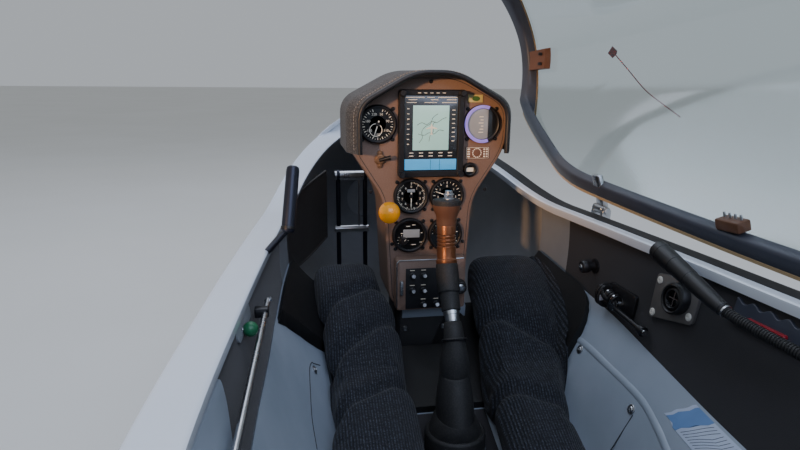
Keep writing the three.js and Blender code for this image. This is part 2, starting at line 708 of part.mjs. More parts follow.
function makePedals() {
  const { pivotY, pivotZ, barZ, midZ, inner, outer } = PEDAL;
  const carriage = joined(
    box(-46, 46, pivotY - 95, pivotY + 60, -470, -330),
    box(-9, 9, pivotY - 14, pivotY + 14, -335, pivotZ + 14),
    bar([-150, pivotY, pivotZ], [150, pivotY, pivotZ], 6, 6, 14),
  );
  add('pedal_carriage', insideSkin(carriage), 'grey');
  for (const [name, side] of [['pedal_left', -1], ['pedal_right', 1]]) {
    const arm = (x) => bar([side * x, pivotY, pivotZ], [side * x, pivotY, barZ], 5, 5, 12);
    const cross = (z, radius) => bar([side * inner, pivotY, z], [side * outer, pivotY, z], radius, radius, 16);
    const hub = bar([side * (inner - 9), pivotY, pivotZ], [side * (outer + 9), pivotY, pivotZ], 13, 13, 18);
    const pedal = joined(arm(inner + 9), arm(outer - 9), cross(barZ, 10), cross(midZ, 8), hub);
    const bore = bar([side * 20, pivotY, pivotZ], [side * 170, pivotY, pivotZ], 6.6, 6.6, 18);
    add(name, cut(pedal, bore), 'steel');
  }
}

// Controls on the left wall

function makeLeftControls() {
  const lever = joined(
    bar([-230, 1090, 36], [-221, 1118, 113], 8.5, 8, 14),
    rod([[-230, 1091, 38], [-232, 1100, 14], [-244, 1140, -12], [-275, 1176, -30]], 4.5, 14),
  );
  add('airbrake_lever', insideCabin(lever), 'anodised');
  const clip = (x, y, z) => box(x - 40, x + 5, y - 6, y + 6, z - 6, z + 6);
  const slider = joined(
    bar([-255, 1040, -32], [-279, 700, -66], 3.2, 3.2, 10), clip(-257, 1010, -35), clip(-278, 715, -64.5),
  );
  add('wall_rod', insideCabin(slider), 'steel');
  const trim = joined(bar([-300, 954, -31], [-275, 954, -31], 4, 4, 10), ball([-271, 954, -31], 8, 14));
  add('trim_knob', insideCabin(trim), 'green');
  const recess = [[726, -84], [796, -84], [810, -72], [833, -43], [840, -22], [726, -22]];
  add('wall_recess', wallShape(-1, recess, 2), 'grey');
  const pocket = loft(SIDE_POCKET.map(([y, x, low, high]) => [
    [x, y, low], [x, y, high], [x - POCKET_SHEET, y, high], [x - POCKET_SHEET, y, low],
  ]));
  add('side_pocket', insideSkin(pocket), 'grey');
}

// Controls on the right wall

function makeRightControls() {
  const foam = joined(
    bar([240, 1042, 9], [240, 972, -8.5], 13.5, 11.5, 18), bar([240, 974, -8], [241, 905, -25], 11.5, 8.5, 18),
  );
  const tail = rod([[241, 912, -23.5], [248, 872, -30], [258, 828, -35], [262, 812, -38]], 6, 10, 10);
  const post = bar([262, 818, -38], [300, 818, -38], 5, 5, 10);
  add('gear_lever', insideCabin(joined(foam, tail, post)), 'rubber');
  add('gear_gate', joined(wallPlate(1, 846, 938, -50, -20, 3), wallPlate(1, 862, 914, -42, -36, 8)), 'red');
  const vent = bar([300, 1022, -53], [246, 1022, -53], 21, 20, 24);
  const ventPlate = [[990, -78], [1070, -96], [1072, -34], [990, -22]];
  add('air_vent', insideCabin(joined(wallShape(1, ventPlate, 3), vent)), 'black');
  const swivel = joined(
    wallPlate(1, 1102, 1172, -117, -80, 3), bar([280, 1137, -104], [236, 1137, -104], 9, 9, 14),
    bar([245, 1064, -115], [240, 1166, -106], 4, 4, 10), ball([245, 1062, -115], 7, 12),
  );
  add('map_clamp', insideCabin(swivel), 'steel');
  const knob = joined(
    bar([280, 1222, -72], [238, 1222, -72], 5, 5, 10), bar([239, 1222, -72], [228, 1222, -72], 10, 9, 16),
  );
  add('wall_knob', insideCabin(knob), 'black');
}

// Canopy

function hingeX(y) {
  return HINGE.x - (y - HINGE.y) * Math.tan(HINGE.turn);
}

// A knuckle or pin on the hinge line, from one station to another.
function onHinge(y0, y1, radius) {
  return bar([hingeX(y0), y0, HINGE.z], [hingeX(y1), y1, HINGE.z], radius, radius, 18);
}

function opened(geometry) {
  return geometry
    .translate(-HINGE.x, -HINGE.y, -HINGE.z)
    .rotateZ(-HINGE.turn).rotateY(CANOPY_OPEN).rotateZ(HINGE.turn)
    .translate(HINGE.x, HINGE.y, HINGE.z);
}

function makeCanopy() {
  const joint = canopySpace(ARCH_GAP, CANOPY_GAP);
  let glass = shell(0, GLASS, -20, noseTip - 120).intersect(joint);
  let frame = shell(GLASS + 0.4, CANOPY_BAR_DEPTH, -20, noseTip - 120)
    .intersect(canopySpace(ARCH_SET_BACK, CANOPY_GAP))
    .subtract(canopySpace(ARCH_GAP + ARCH_WIDTH, CANOPY_GAP + RAIL_HEIGHT));
  for (const y of HINGE_STATIONS) {
    const { knuckle, ear, gap } = HINGE_PARTS;
    const notch = box(200, 420, y - knuckle - 2, y + knuckle + 2, -20, HINGE.z + 14);
    const arm = joined(
      box(hingeX(y) - 60, hingeX(y), y - knuckle, y + knuckle, HINGE.z - 1.5, HINGE.z + 8),
      onHinge(y - knuckle, y + knuckle, 8),
    );
    glass = glass.subtract(solid(notch));
    frame = frame.add(solid(arm)).subtract(solid(onHinge(y - 40, y + 40, 4 + gap)));
    const cheek = (from, to) => joined(
      onHinge(from, to, 8), box(hingeX(y) - 46, hingeX(y) + 6, from, to, -40, HINGE.z),
    );
    const lug = joined(
      cheek(y - knuckle - gap - ear, y - knuckle - gap), cheek(y + knuckle + gap, y + knuckle + gap + ear),
      onHinge(y - knuckle - 6, y + knuckle + 6, 4),
      box(hingeX(y) - 46, hingeX(y) + 6, y - knuckle - 8, y + knuckle + 8, -40, -16),
    );
    add(`hinge_lug_${y > HINGE.y ? 'front' : 'rear'}`, cut(lug, egg(-SEAT_GAP, -20, noseTip)), 'steel');
  }
  add('canopy_glass', opened(geometryOf(glass)), 'glass', canopy);
  add('canopy_frame', opened(geometryOf(frame)), 'frame', canopy);

  const besideArch = canopySpace(ARCH_GAP + ARCH_WIDTH + SEAT_GAP, CANOPY_GAP + RAIL_HEIGHT + SEAT_GAP);
  const catchPlate = solid(egg(GLASS + 3, 1600, 1900)).intersect(besideArch)
    .intersect(solid(box(20, 62, 1690, 1900, 60, 300))).subtract(solid(egg(CANOPY_BAR_DEPTH, 1500, 1950)));
  add('arch_catch', opened(geometryOf(catchPlate)), 'bronze', canopy);
  const lock = solid(egg(CANOPY_BAR_DEPTH + SEAT_GAP, 900, 1100))
    .intersect(solid(box(200, 330, ...RAIL_LOCK, CANOPY_GAP + 1, CANOPY_GAP + RAIL_HEIGHT + 4)))
    .subtract(solid(egg(CANOPY_BAR_DEPTH + 16, 800, 1200)));
  add('rail_lock', opened(geometryOf(lock)), 'bronze', canopy);
  const string = YAW_STRING.map(([x, y]) => [x, y, crownAt(x, y) + 1.6]);
  add('yaw_string', opened(rod(string, 1, 10, 8)), 'red', canopy);
}

makeHull();
makeLinings();
makeSeat();
makeStick();
makePod();
makePedals();
makeLeftControls();
makeRightControls();
makeCanopy();

export default root;
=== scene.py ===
"""Visual model of a sailplane cockpit section.

Lengths are in millimetres while shapes are made, and in metres in Blender.
+Y points to the nose, +X to the pilot's right and +Z up.
"""

import logging
import math
from dataclasses import dataclass
from enum import Enum
from typing import Callable, Iterable, NamedTuple, Sequence

import bmesh
import bpy
import numpy as np
from mathutils import Matrix, Vector

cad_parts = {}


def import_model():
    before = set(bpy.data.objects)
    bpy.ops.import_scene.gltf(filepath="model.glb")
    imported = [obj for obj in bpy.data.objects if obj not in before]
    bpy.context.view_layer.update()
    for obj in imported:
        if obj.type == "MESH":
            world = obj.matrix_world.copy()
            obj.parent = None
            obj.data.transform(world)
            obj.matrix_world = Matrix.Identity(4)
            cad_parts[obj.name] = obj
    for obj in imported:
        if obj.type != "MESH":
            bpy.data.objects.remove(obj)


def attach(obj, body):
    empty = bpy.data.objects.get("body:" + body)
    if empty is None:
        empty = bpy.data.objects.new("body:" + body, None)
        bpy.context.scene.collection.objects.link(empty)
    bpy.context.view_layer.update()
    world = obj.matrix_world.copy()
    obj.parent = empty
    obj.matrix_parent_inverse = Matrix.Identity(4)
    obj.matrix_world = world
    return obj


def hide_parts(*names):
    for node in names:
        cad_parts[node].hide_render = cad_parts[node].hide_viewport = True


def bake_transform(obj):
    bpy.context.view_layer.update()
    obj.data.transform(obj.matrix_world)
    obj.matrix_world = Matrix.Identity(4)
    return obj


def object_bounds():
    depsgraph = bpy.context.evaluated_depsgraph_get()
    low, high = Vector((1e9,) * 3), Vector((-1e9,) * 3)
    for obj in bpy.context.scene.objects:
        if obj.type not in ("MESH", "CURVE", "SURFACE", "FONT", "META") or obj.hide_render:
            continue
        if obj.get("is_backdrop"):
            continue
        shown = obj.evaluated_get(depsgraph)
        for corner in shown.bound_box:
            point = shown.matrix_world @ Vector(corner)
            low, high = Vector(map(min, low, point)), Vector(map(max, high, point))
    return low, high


LOG = logging.getLogger("cockpit")
MM = 0.001
Row = Sequence[float]
Object = bpy.types.Object
Node = bpy.types.Node
Socket = bpy.types.NodeSocket
Tree = bpy.types.NodeTree


class Body(Enum):
    """The moving bodies of the section."""

    COCKPIT = "cockpit"
    CANOPY = "canopy"
    ROLL = "stick_roll_body"
    STICK = "stick"
    PEDAL_LEFT = "left_pedal"
    PEDAL_RIGHT = "right_pedal"


class Relief(Enum):
    """How a surface stands up from its plane."""

    SMOOTH = "smooth"
    PEEL = "orange peel"
    GRAIN = "grain"
    LEATHER = "leather"
    KNIT = "knit"
    WEAVE = "weave"
    BRUSHED = "brushed"


# Shapes


def spread(start: float, end: float, count: int) -> list[float]:
    """Returns evenly spaced numbers from start to end."""
    return np.linspace(start, end, count).tolist()


class Shape(NamedTuple):
    """A closed body: its points in millimetres and its faces."""

    points: np.ndarray
    faces: list

    def moved(self, x: float = 0, y: float = 0, z: float = 0) -> "Shape":
        """Returns the shape moved by a step."""
        return Shape(self.points + np.array([x, y, z], float), self.faces)

    def turned(self, matrix: Matrix) -> "Shape":
        """Returns the shape turned and moved by a 4x4 matrix in millimetres."""
        m = np.array(matrix, float)
        return Shape(self.points @ m[:3, :3].T + m[:3, 3], self.faces)

    def mirrored(self) -> "Shape":
        """Returns the shape seen in the centre plane."""
        return Shape(self.points * np.array([-1.0, 1, 1]), [tuple(reversed(f)) for f in self.faces])


def loft(rings: Sequence, capped: bool = True, round_trip: bool = False) -> Shape:
    """Skins a row of rings of equally many points.

    Args:
        rings: the rings, each a list of [x, y, z].
        capped: whether the first and the last ring are closed with a face.
        round_trip: whether the last ring joins the first.

    Returns:
        The shape.
    """
    stack = np.array(rings, float)
    count, size = stack.shape[:2]
    faces = []
    for r in range(count if round_trip else count - 1):
        a, b = r * size, (r + 1) % count * size
        faces += [(a + k, a + (k + 1) % size, b + (k + 1) % size, b + k) for k in range(size)]
    if capped and not round_trip:
        faces += [tuple(reversed(range(size))), tuple(range((count - 1) * size, count * size))]
    return Shape(stack.reshape(-1, 3), faces)


def slab(upper: Sequence, lower: Sequence) -> Shape:
    """Closes two facing grids of points into one sheet.

    Args:
        upper: rows of points of the one face.
        lower: the same rows on the other face.

    Returns:
        The shape.
    """
    top, bottom = np.array(upper, float), np.array(lower, float)
    return loft([np.concatenate([a, b[::-1]]) for a, b in zip(top, bottom)])


def across(direction: Vector) -> tuple[Vector, Vector]:
    """Returns two unit vectors square to a direction."""
    side = direction.cross(Vector((0, 0, 1)))
    if side.length < 1e-3:
        side = direction.cross(Vector((0, 1, 0)))
    side.normalize()
    return side, side.cross(direction).normalized()


def smooth_path(points: Sequence[Row], count: int) -> list[Vector]:
    """Runs an even curve through points.

    Args:
        points: the points.
        count: how many points the curve has.

    Returns:
        The curve's points.
    """
    knots = np.array(points, float)
    ends = np.vstack([2 * knots[0] - knots[1], knots, 2 * knots[-1] - knots[-2]])
    found = []
    for s in spread(0, len(knots) - 1, count):
        i = min(int(s), len(knots) - 2)
        t = s - i
        a, b, c, d = ends[i : i + 4]
        found.append(
            Vector(0.5 * (2 * b + (c - a) * t + (2 * a - 5 * b + 4 * c - d) * t * t + (3 * b - a - 3 * c + d) * t**3))
        )
    return found


def tube(
    points: Sequence[Row], radii: float | Sequence[float], sides: int = 20, steps: int = 0, flat: float = 1
) -> Shape:
    """Sweeps a circle along points.

    Args:
        points: the centre line.
        radii: one radius, or one at each point.
        sides: sides of the circle.
        steps: points of the smoothed centre line, or 0 to keep it as it is.
        flat: the section's height as a share of its width.

    Returns:
        The shape.
    """
    radii = [radii] * len(points) if isinstance(radii, (int, float)) else list(radii)
    line = smooth_path(points, steps) if steps else [Vector(p) for p in points]
    if steps:
        radii = np.interp(spread(0, len(radii) - 1, steps), range(len(radii)), radii).tolist()
    rings, side = [], None
    for i, p in enumerate(line):
        along = (line[min(i + 1, len(line) - 1)] - line[max(i - 1, 0)]).normalized()
        side = across(along)[0] if side is None else (side - along * side.dot(along)).normalized()
        up = side.cross(along)
        turn = [2 * math.pi * k / sides for k in range(sides)]
        rings.append([p + radii[i] * (math.cos(a) * side + flat * math.sin(a) * up) for a in turn])
    return loft(rings)


def lathe(profile: Sequence[Row], at: Row, axis: Row = (0, 0, 1), sides: int = 32, closed: bool = False) -> Shape:
    """Turns a profile round an axis.

    Args:
        profile: pairs of radius and distance along the axis.
        at: where the axis starts.
        axis: the axis's direction.
        sides: sides of the circle.
        closed: whether the profile is a closed loop, such as a ring's section.

    Returns:
        The shape.
    """
    along = Vector(axis).normalized()
    side, up = across(along)
    rings = []
    for radius, height in profile:
        turn = [2 * math.pi * k / sides for k in range(sides)]
        centre = Vector(at) + along * height
        rings.append([centre + max(radius, 0.01) * (math.cos(a) * side + math.sin(a) * up) for a in turn])
    return loft(rings, round_trip=closed)


def spun(profile: Sequence[Row], at: Row, axis: Row = (0, 0, 1), sides: int = 32) -> Shape:
    """Turns a profile round an axis and closes both of its ends with flat faces."""
    return lathe([(0, profile[0][1]), *profile, (0, profile[-1][1])], at, axis, sides)


def inset_outline(outline: Sequence[Row], inset: float) -> list[Vector]:
    """Draws a plane outline in by a distance.

    Args:
        outline: pairs of u and v, anticlockwise.
        inset: the distance.

    Returns:
        The outline's new points.
    """
    points = [Vector(p) for p in outline]
    found = []
    for i, p in enumerate(points):
        before = (p - points[i - 1]).normalized()
        after = (points[(i + 1) % len(points)] - p).normalized()
        normal = Vector((-before.y - after.y, before.x + after.x))
        found.append(p + normal * inset / max(normal.length_squared / 2, 0.2))
    return found


def prism(outline: Sequence[Row], start: float, end: float, axis: str = "y", edge: float = 0, steps: int = 3) -> Shape:
    """Pushes an outline along an axis, with rounded edges.

    Args:
        outline: pairs in the plane, anticlockwise: x, z along y; x, y along z; y, z along x.
        start: where it starts.
        end: where it ends.
        axis: x, y or z.
        edge: radius of the rounded edges.
        steps: how many steps each rounded edge has.

    Returns:
        The shape.
    """
    turns = [math.pi / 2 * k / steps for k in range(steps + 1)] if edge else [0.0]
    layers = [(edge * (1 - math.sin(a)), start + edge * (1 - math.cos(a))) for a in turns]
    layers += [(inset, start + end - place) for inset, place in reversed(layers)]
    place = {"y": lambda u, v, w: (u, w, v), "z": lambda u, v, w: (u, v, w), "x": lambda u, v, w: (w, u, v)}[axis]
    return loft([[place(p.x, p.y, w) for p in inset_outline(outline, inset)] for inset, w in layers])


def rounded_rectangle(x0: float, x1: float, z0: float, z1: float, radius: float, steps: int = 5) -> list[Row]:
    """Returns the anticlockwise outline of a rectangle with round corners."""
    corners = (
        (x1 - radius, z1 - radius, 0), (x0 + radius, z1 - radius, 90), (x0 + radius, z0 + radius, 180),
        (x1 - radius, z0 + radius, 270)
    )
    found = []
    for u, v, first in corners:
        for k in range(steps + 1):
            angle = math.radians(first + 90 * k / steps)
            found.append((u + radius * math.cos(angle), v + radius * math.sin(angle)))
    return found


def corner(before: Vector, p: Vector, after: Vector, radius: float, shares: Sequence[float]) -> list[Vector]:
    """Returns points on the short curve that rounds the corner p."""
    a, b = before - p, after - p
    reach = min(radius, 0.45 * a.length, 0.45 * b.length)
    start, end = p + a.normalized() * reach, p + b.normalized() * reach
    return [start * (1 - t) ** 2 + p * 2 * t * (1 - t) + end * t * t for t in shares]


def rounded_outline(outline: Sequence[Row], radius: float, steps: int = 5) -> list[Row]:
    """Rounds the corners of an anticlockwise outline with short curves."""
    points = [Vector(p) for p in outline]
    found = []
    for i, p in enumerate(points):
        curve = corner(points[i - 1], p, points[(i + 1) % len(points)], radius, [k / steps for k in range(steps + 1)])
        found += [tuple(q) for q in curve]
    return found


def block(x0: float, x1: float, y0: float, y1: float, z0: float, z1: float, edge: float = 1.0) -> Shape:
    """Returns a box with rounded edges."""
    return prism(rounded_rectangle(x0, x1, z0, z1, max(edge, 0.2), 3), y0, y1, "y", edge, 2)


def ball(at: Row, radius: float, sides: int = 32) -> Shape:
    """Returns a ball."""
    turns = [math.pi * k / (sides // 2) for k in range(sides // 2 + 1)]
    return lathe([(radius * math.sin(a), -radius * math.cos(a)) for a in turns], at, sides=sides)


def screw(at: Row, axis: Row, radius: float = 3.0, height: float = 1.2) -> Shape:
    """Returns a domed screw head with a hollow in its middle."""
    profile = [(radius, 0), (radius, 0.35 * height), (0.8 * radius, 0.85 * height), (0.5 * radius, height)]
    return lathe([*profile, (0.42 * radius, height), (0.36 * radius, 0.5 * height), (0, 0.5 * height)], at, axis, 14)


# Finishes


def linear(code: str) -> tuple[float, float, float, float]:
    """Turns an sRGB hex colour to linear light.

    Args:
        code: six hex digits.

    Returns:
        Red, green, blue and alpha.
    """
    parts = [int(code[i : i + 2], 16) / 255 for i in (0, 2, 4)]
    return (*(c / 12.92 if c <= 0.04045 else ((c + 0.055) / 1.055) ** 2.4 for c in parts), 1.0)


def add_node(tree: Tree, kind: str, inputs: dict | None = None, **settings) -> Node:
    """Adds a node with its settings and links.

    Args:
        tree: the material's node tree.
        kind: the node's type.
        inputs: by input name or number, a value or the socket that it is linked to.
        **settings: the node's own properties.

    Returns:
        The node.
    """
    node = tree.nodes.new(kind)
    for name, value in settings.items():
        setattr(node, name, value)
    for key, value in (inputs or {}).items():
        if isinstance(value, Socket):
            tree.links.new(value, node.inputs[key])
        else:
            node.inputs[key].default_value = value
    return node


def colour_sockets(mix: Node) -> tuple[list, Socket]:
    """Returns a mix node's two colour inputs and its colour output."""
    return [s for s in mix.inputs if s.type == "RGBA"], next(s for s in mix.outputs if s.type == "RGBA")


# How much finer noise adds to coarser noise, and the size of the specks in millimetres, drawn coarse to show: dust on
# most finishes, painted highlight on the knit's rib crowns.
NOISE_ROUGHNESS = 0.6
SPECK_SIZE = 2.2


@dataclass(frozen=True)
class Finish:
    """One finish. Its pattern sizes are real millimetres."""

    name: str
    colour: str
    shade: str = ""
    roughness: float = 0.5
    metallic: float = 0.0
    ior: float = 1.5
    relief: Relief = Relief.SMOOTH
    pitch: float = 1.0
    height: float = 0.1
    patch: float = 40.0
    patches: float = 0.5
    # Speck colour and amount: dust on most finishes, painted highlight on the knit's rib crowns.
    dust: str = ""
    dustiness: float = 0.0
    coat: float = 0.0
    sheen: float = 0.0
    transmission: float = 0.0
    glow: float = 0.0

    def material(self) -> bpy.types.Material:
        """Returns the Blender material, made on first use."""
        made = bpy.data.materials.get(self.name)
        if made:
            return made
        made = bpy.data.materials.new(self.name)
        made.use_nodes = True
        tree = made.node_tree
        tree.nodes.clear()
        place = add_node(tree, "ShaderNodeTexCoord").outputs["Object"]
        shader = add_node(tree, "ShaderNodeBsdfPrincipled")
        add_node(tree, "ShaderNodeOutputMaterial", {"Surface": shader.outputs["BSDF"]})
        for socket, value in (
            ("Metallic", self.metallic),
            ("IOR", self.ior),
            ("Coat Weight", self.coat),
            ("Coat Roughness", 0.08),
            ("Sheen Weight", self.sheen),
            ("Transmission Weight", self.transmission),
        ):
            shader.inputs[socket].default_value = value
        if self.glow:
            shader.inputs["Emission Color"].default_value = linear(self.colour)
            shader.inputs["Emission Strength"].default_value = self.glow
        height = self._height(tree, place)
        self._colours(tree, place, shader, height)
        if height is not None:
            bump = add_node(tree, "ShaderNodeBump", {"Strength": 1.0, "Distance": self.height * MM, "Height": height})
            tree.links.new(bump.outputs["Normal"], shader.inputs["Normal"])
        return made

    def _height(self, tree: Tree, place: Socket) -> Socket | None:
        """Draws the surface's height pattern.

        Args:
            tree: the material's nodes.
            place: the coordinates.

        Returns:
            The pattern, or None on a smooth surface.
        """
        if self.relief is Relief.SMOOTH:
            return None
        density = 1 / (self.pitch * MM)
        if self.relief is Relief.LEATHER:
            inputs = {"Vector": place, "Scale": density, "Randomness": 1.0}
            cells = add_node(tree, "ShaderNodeTexVoronoi", inputs, feature="DISTANCE_TO_EDGE").outputs["Distance"]
            return add_node(tree, "ShaderNodeMapRange", {"Value": cells, "From Max": 0.35}).outputs["Result"]
        if self.relief in (Relief.PEEL, Relief.GRAIN, Relief.BRUSHED):
            if self.relief is Relief.BRUSHED:
                inputs = {"Vector": place, "Scale": (1.0, 0.04, 1.0)}
                place = add_node(tree, "ShaderNodeMapping", inputs).outputs["Vector"]
            detail = {Relief.PEEL: 1.0, Relief.GRAIN: 4.0, Relief.BRUSHED: 3.0}[self.relief]
            inputs = {"Vector": place, "Scale": density, "Detail": detail, "Roughness": NOISE_ROUGHNESS}
            return add_node(tree, "ShaderNodeTexNoise", inputs).outputs["Fac"]
        loop = 1.25 if self.relief is Relief.KNIT else 1.0
        bands = []
        for direction, longer in (("X", 1.0), ("Y", loop), ("Z", 1.25)):
            # A wave node repeats every pi / 10 of its scale.
            scale = math.pi / 10 / (self.pitch * longer * MM)
            inputs = {"Vector": place, "Scale": scale, "Distortion": 0.6, "Detail": 2.0, "Detail Scale": 1.5}
            bands.append(add_node(tree, "ShaderNodeTexWave", inputs, bands_direction=direction).outputs["Fac"])
        crossing = add_node(tree, "ShaderNodeMath", {0: bands[1], 1: bands[2]}, operation="MAXIMUM").outputs[0]
        weak = add_node(tree, "ShaderNodeMapRange", {"Value": crossing, "To Min": 0.5}).outputs["Result"]
        return add_node(tree, "ShaderNodeMath", {0: bands[0], 1: weak}, operation="MULTIPLY").outputs[0]

    def _colours(
        self, tree: Tree, place: Socket, shader: Node, height: Socket | None
    ) -> None:
        """Colours the surface and varies its gloss.

        Args:
            tree: the material's nodes.
            place: the coordinates.
            shader: the surface shader.
            height: the height pattern, whose hollows get painted shade.
        """
        inputs = {"Vector": place, "Scale": 1 / (self.patch * MM), "Detail": 3.0, "Roughness": NOISE_ROUGHNESS}
        clouds = add_node(tree, "ShaderNodeTexNoise", inputs).outputs["Fac"]
        inputs = {"Value": clouds, "From Min": 0.35, "From Max": 0.65, "To Max": self.patches}
        share = add_node(tree, "ShaderNodeMapRange", inputs).outputs["Result"]
        mix = add_node(tree, "ShaderNodeMix", {"Factor": share}, data_type="RGBA")
        slots, found = colour_sockets(mix)
        slots[0].default_value, slots[1].default_value = linear(self.colour), linear(self.shade or self.colour)
        # Painted shade: knit, weave and leather are darkened in the hollows of their height pattern.
        if self.relief in (Relief.KNIT, Relief.WEAVE, Relief.LEATHER):
            deep = add_node(
                tree, "ShaderNodeMapRange", {"Value": height, "To Min": 0.35, "To Max": 1.0}
            ).outputs["Result"]
            mix = add_node(tree, "ShaderNodeMix", {"Factor": 1.0}, data_type="RGBA", blend_type="MULTIPLY")
            slots, darkened = colour_sockets(mix)
            tree.links.new(found, slots[0])
            tree.links.new(deep, slots[1])
            found = darkened
        if self.dustiness:
            inputs = {"Vector": place, "Scale": 1 / (SPECK_SIZE * MM), "Detail": 6.0, "Roughness": NOISE_ROUGHNESS}
            specks = add_node(tree, "ShaderNodeTexNoise", inputs).outputs["Fac"]
            inputs = {"Value": specks, "From Min": 0.46, "From Max": 0.62, "To Max": self.dustiness}
            speck_share = add_node(tree, "ShaderNodeMapRange", inputs).outputs["Result"]
            # Painted highlight: on knit the pale specks are kept to the rib crowns, where light catches them.
            if self.relief is Relief.KNIT:
                speck_share = add_node(tree, "ShaderNodeMath", {0: speck_share, 1: height}, operation="MULTIPLY").outputs[0]
            mix = add_node(tree, "ShaderNodeMix", {"Factor": speck_share}, data_type="RGBA")
            slots, specked = colour_sockets(mix)
            tree.links.new(found, slots[0])
            slots[1].default_value = linear(self.dust)
            found = specked
        tree.links.new(found, shader.inputs["Base Color"])
        ends = {"To Min": max(self.roughness - 0.06, 0.02), "To Max": min(self.roughness + 0.08, 1.0)}
        gloss = add_node(tree, "ShaderNodeMapRange", {"Value": clouds, **ends}).outputs["Result"]
        tree.links.new(gloss, shader.inputs["Roughness"])


# Polished polyester gelcoat: cool white, wet-looking, with a faint print of the cloth below it.
GELCOAT = Finish(
    "Polyester_gelcoat_polished", "E6ECF4", "DCE3EE", 0.16, ior=1.55, relief=Relief.PEEL, pitch=14, height=0.03,
    patch=260, patches=0.6, coat=0.4
)
# Two-part paint rolled on the inside of the shell: dull grey with an even stipple.
INNER_PAINT = Finish(
    "Polyurethane_paint_rolled_grey", "A3A5A8", "96989C", 0.55, relief=Relief.PEEL, pitch=3, height=0.12, patch=60
)
# Extruded rubber seal on the right sill, under the canopy rail, with painted shade of the gap under the rail: black,
# dull.
SEAL_AND_GAP_SHADE = Finish(
    "Seal_rubber_and_painted_gap_shade_black", "17181B", "1C1D20", 0.6, relief=Relief.GRAIN, pitch=1.0, height=0.04, patch=30
)
# Moulded nylon screws: white, waxy.
NYLON = Finish("Nylon_moulded_white", "DDDAD2", "D2CFC6", 0.4, patch=8)
# Two-part paint rolled on the seat tub: pale blue grey, satin, with a fine stipple.
TUB_PAINT = Finish(
    "Polyurethane_paint_rolled_blue_grey", "A3AEBB", "95A1AF", 0.42, relief=Relief.PEEL, pitch=2.4, height=0.06,
    patch=120, patches=0.8
)
# Needle felt glued to the side walls: charcoal, quite matt.
FELT = Finish(
    "Polyester_felt_needled_charcoal", "2A292C", "323033", 0.9, relief=Relief.GRAIN, pitch=0.9, height=0.25, patch=90,
    sheen=0.15
)
# Two-part paint sprayed on the wall ahead of the felt: even mid grey.
WALL_PAINT = Finish(
    "Polyurethane_paint_sprayed_grey", "8C9299", "7F858C", 0.5, relief=Relief.PEEL, pitch=3, height=0.05, patch=80
)


# Object making


class Piece:
    """Closed bodies in millimetres that become one Blender object."""

    def __init__(self, name: str, *finishes: Finish) -> None:
        """Starts an empty piece with its finishes."""
        self.name = name
        self.finishes = finishes
        self.points: list = []
        self.faces: list = []
        self.marks: list = []

    def add(self, shape: Shape, finish: int = 0) -> "Piece":
        """Adds a body in one of the piece's finishes and returns the piece."""
        offset = sum(len(p) for p in self.points)
        self.points.append(shape.points)
        self.faces += [tuple(i + offset for i in face) for face in shape.faces]
        self.marks += [finish] * len(shape.faces)
        return self

    def mark(self, first: int, last: int, finish: int) -> None:
        """Gives a run of faces another finish."""
        self.marks[first:last] = [finish] * (last - first)

    def free(self, angle: float = 32.0) -> Object:
        """Makes the object without a body.

        Args:
            angle: edges sharper than this stay crisp, in degrees.

        Returns:
            The object.
        """
        mesh = bpy.data.meshes.new(self.name)
        mesh.from_pydata((np.concatenate(self.points) * MM).tolist(), [], self.faces)
        for finish in self.finishes:
            mesh.materials.append(finish.material())
        mesh.polygons.foreach_set("material_index", self.marks)
        work = bmesh.new()
        work.from_mesh(mesh)
        bmesh.ops.remove_doubles(work, verts=work.verts, dist=2e-5)
        bmesh.ops.dissolve_degenerate(work, edges=work.edges, dist=1e-6)
        bmesh.ops.recalc_face_normals(work, faces=work.faces)
        work.to_mesh(mesh)
        work.free()
        made = bpy.data.objects.new(self.name, mesh)
        bpy.context.scene.collection.objects.link(made)
        mesh.shade_smooth()
        mesh.set_sharp_from_angle(angle=math.radians(angle))
        return made

    def build(self, slot: str, *replaced: str, body: Body = Body.COCKPIT, angle: float = 32.0) -> Object:
        """Makes the object on its body.

        Args:
            slot: the material slot's name, passed on to dressed.
            *replaced: the nodes that it stands for.
            body: the body that it rides on.
            angle: edges sharper than this stay crisp, in degrees.

        Returns:
            The object.
        """
        return dressed(self.free(angle), body, slot, *replaced)


def dressed(made: Object, body: Body, slot: str, *replaced: str) -> Object:
    """Lets an object ride on a body and stand for nodes.

    Args:
        made: the object.
        body: the body.
        slot: not used.
        *replaced: the nodes.

    Returns:
        The object.
    """
    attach(made, body.value)
    if replaced:
        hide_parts(*replaced)
    LOG.info("%s on %s", made.name, body.value)
    return made


# Fuselage lines


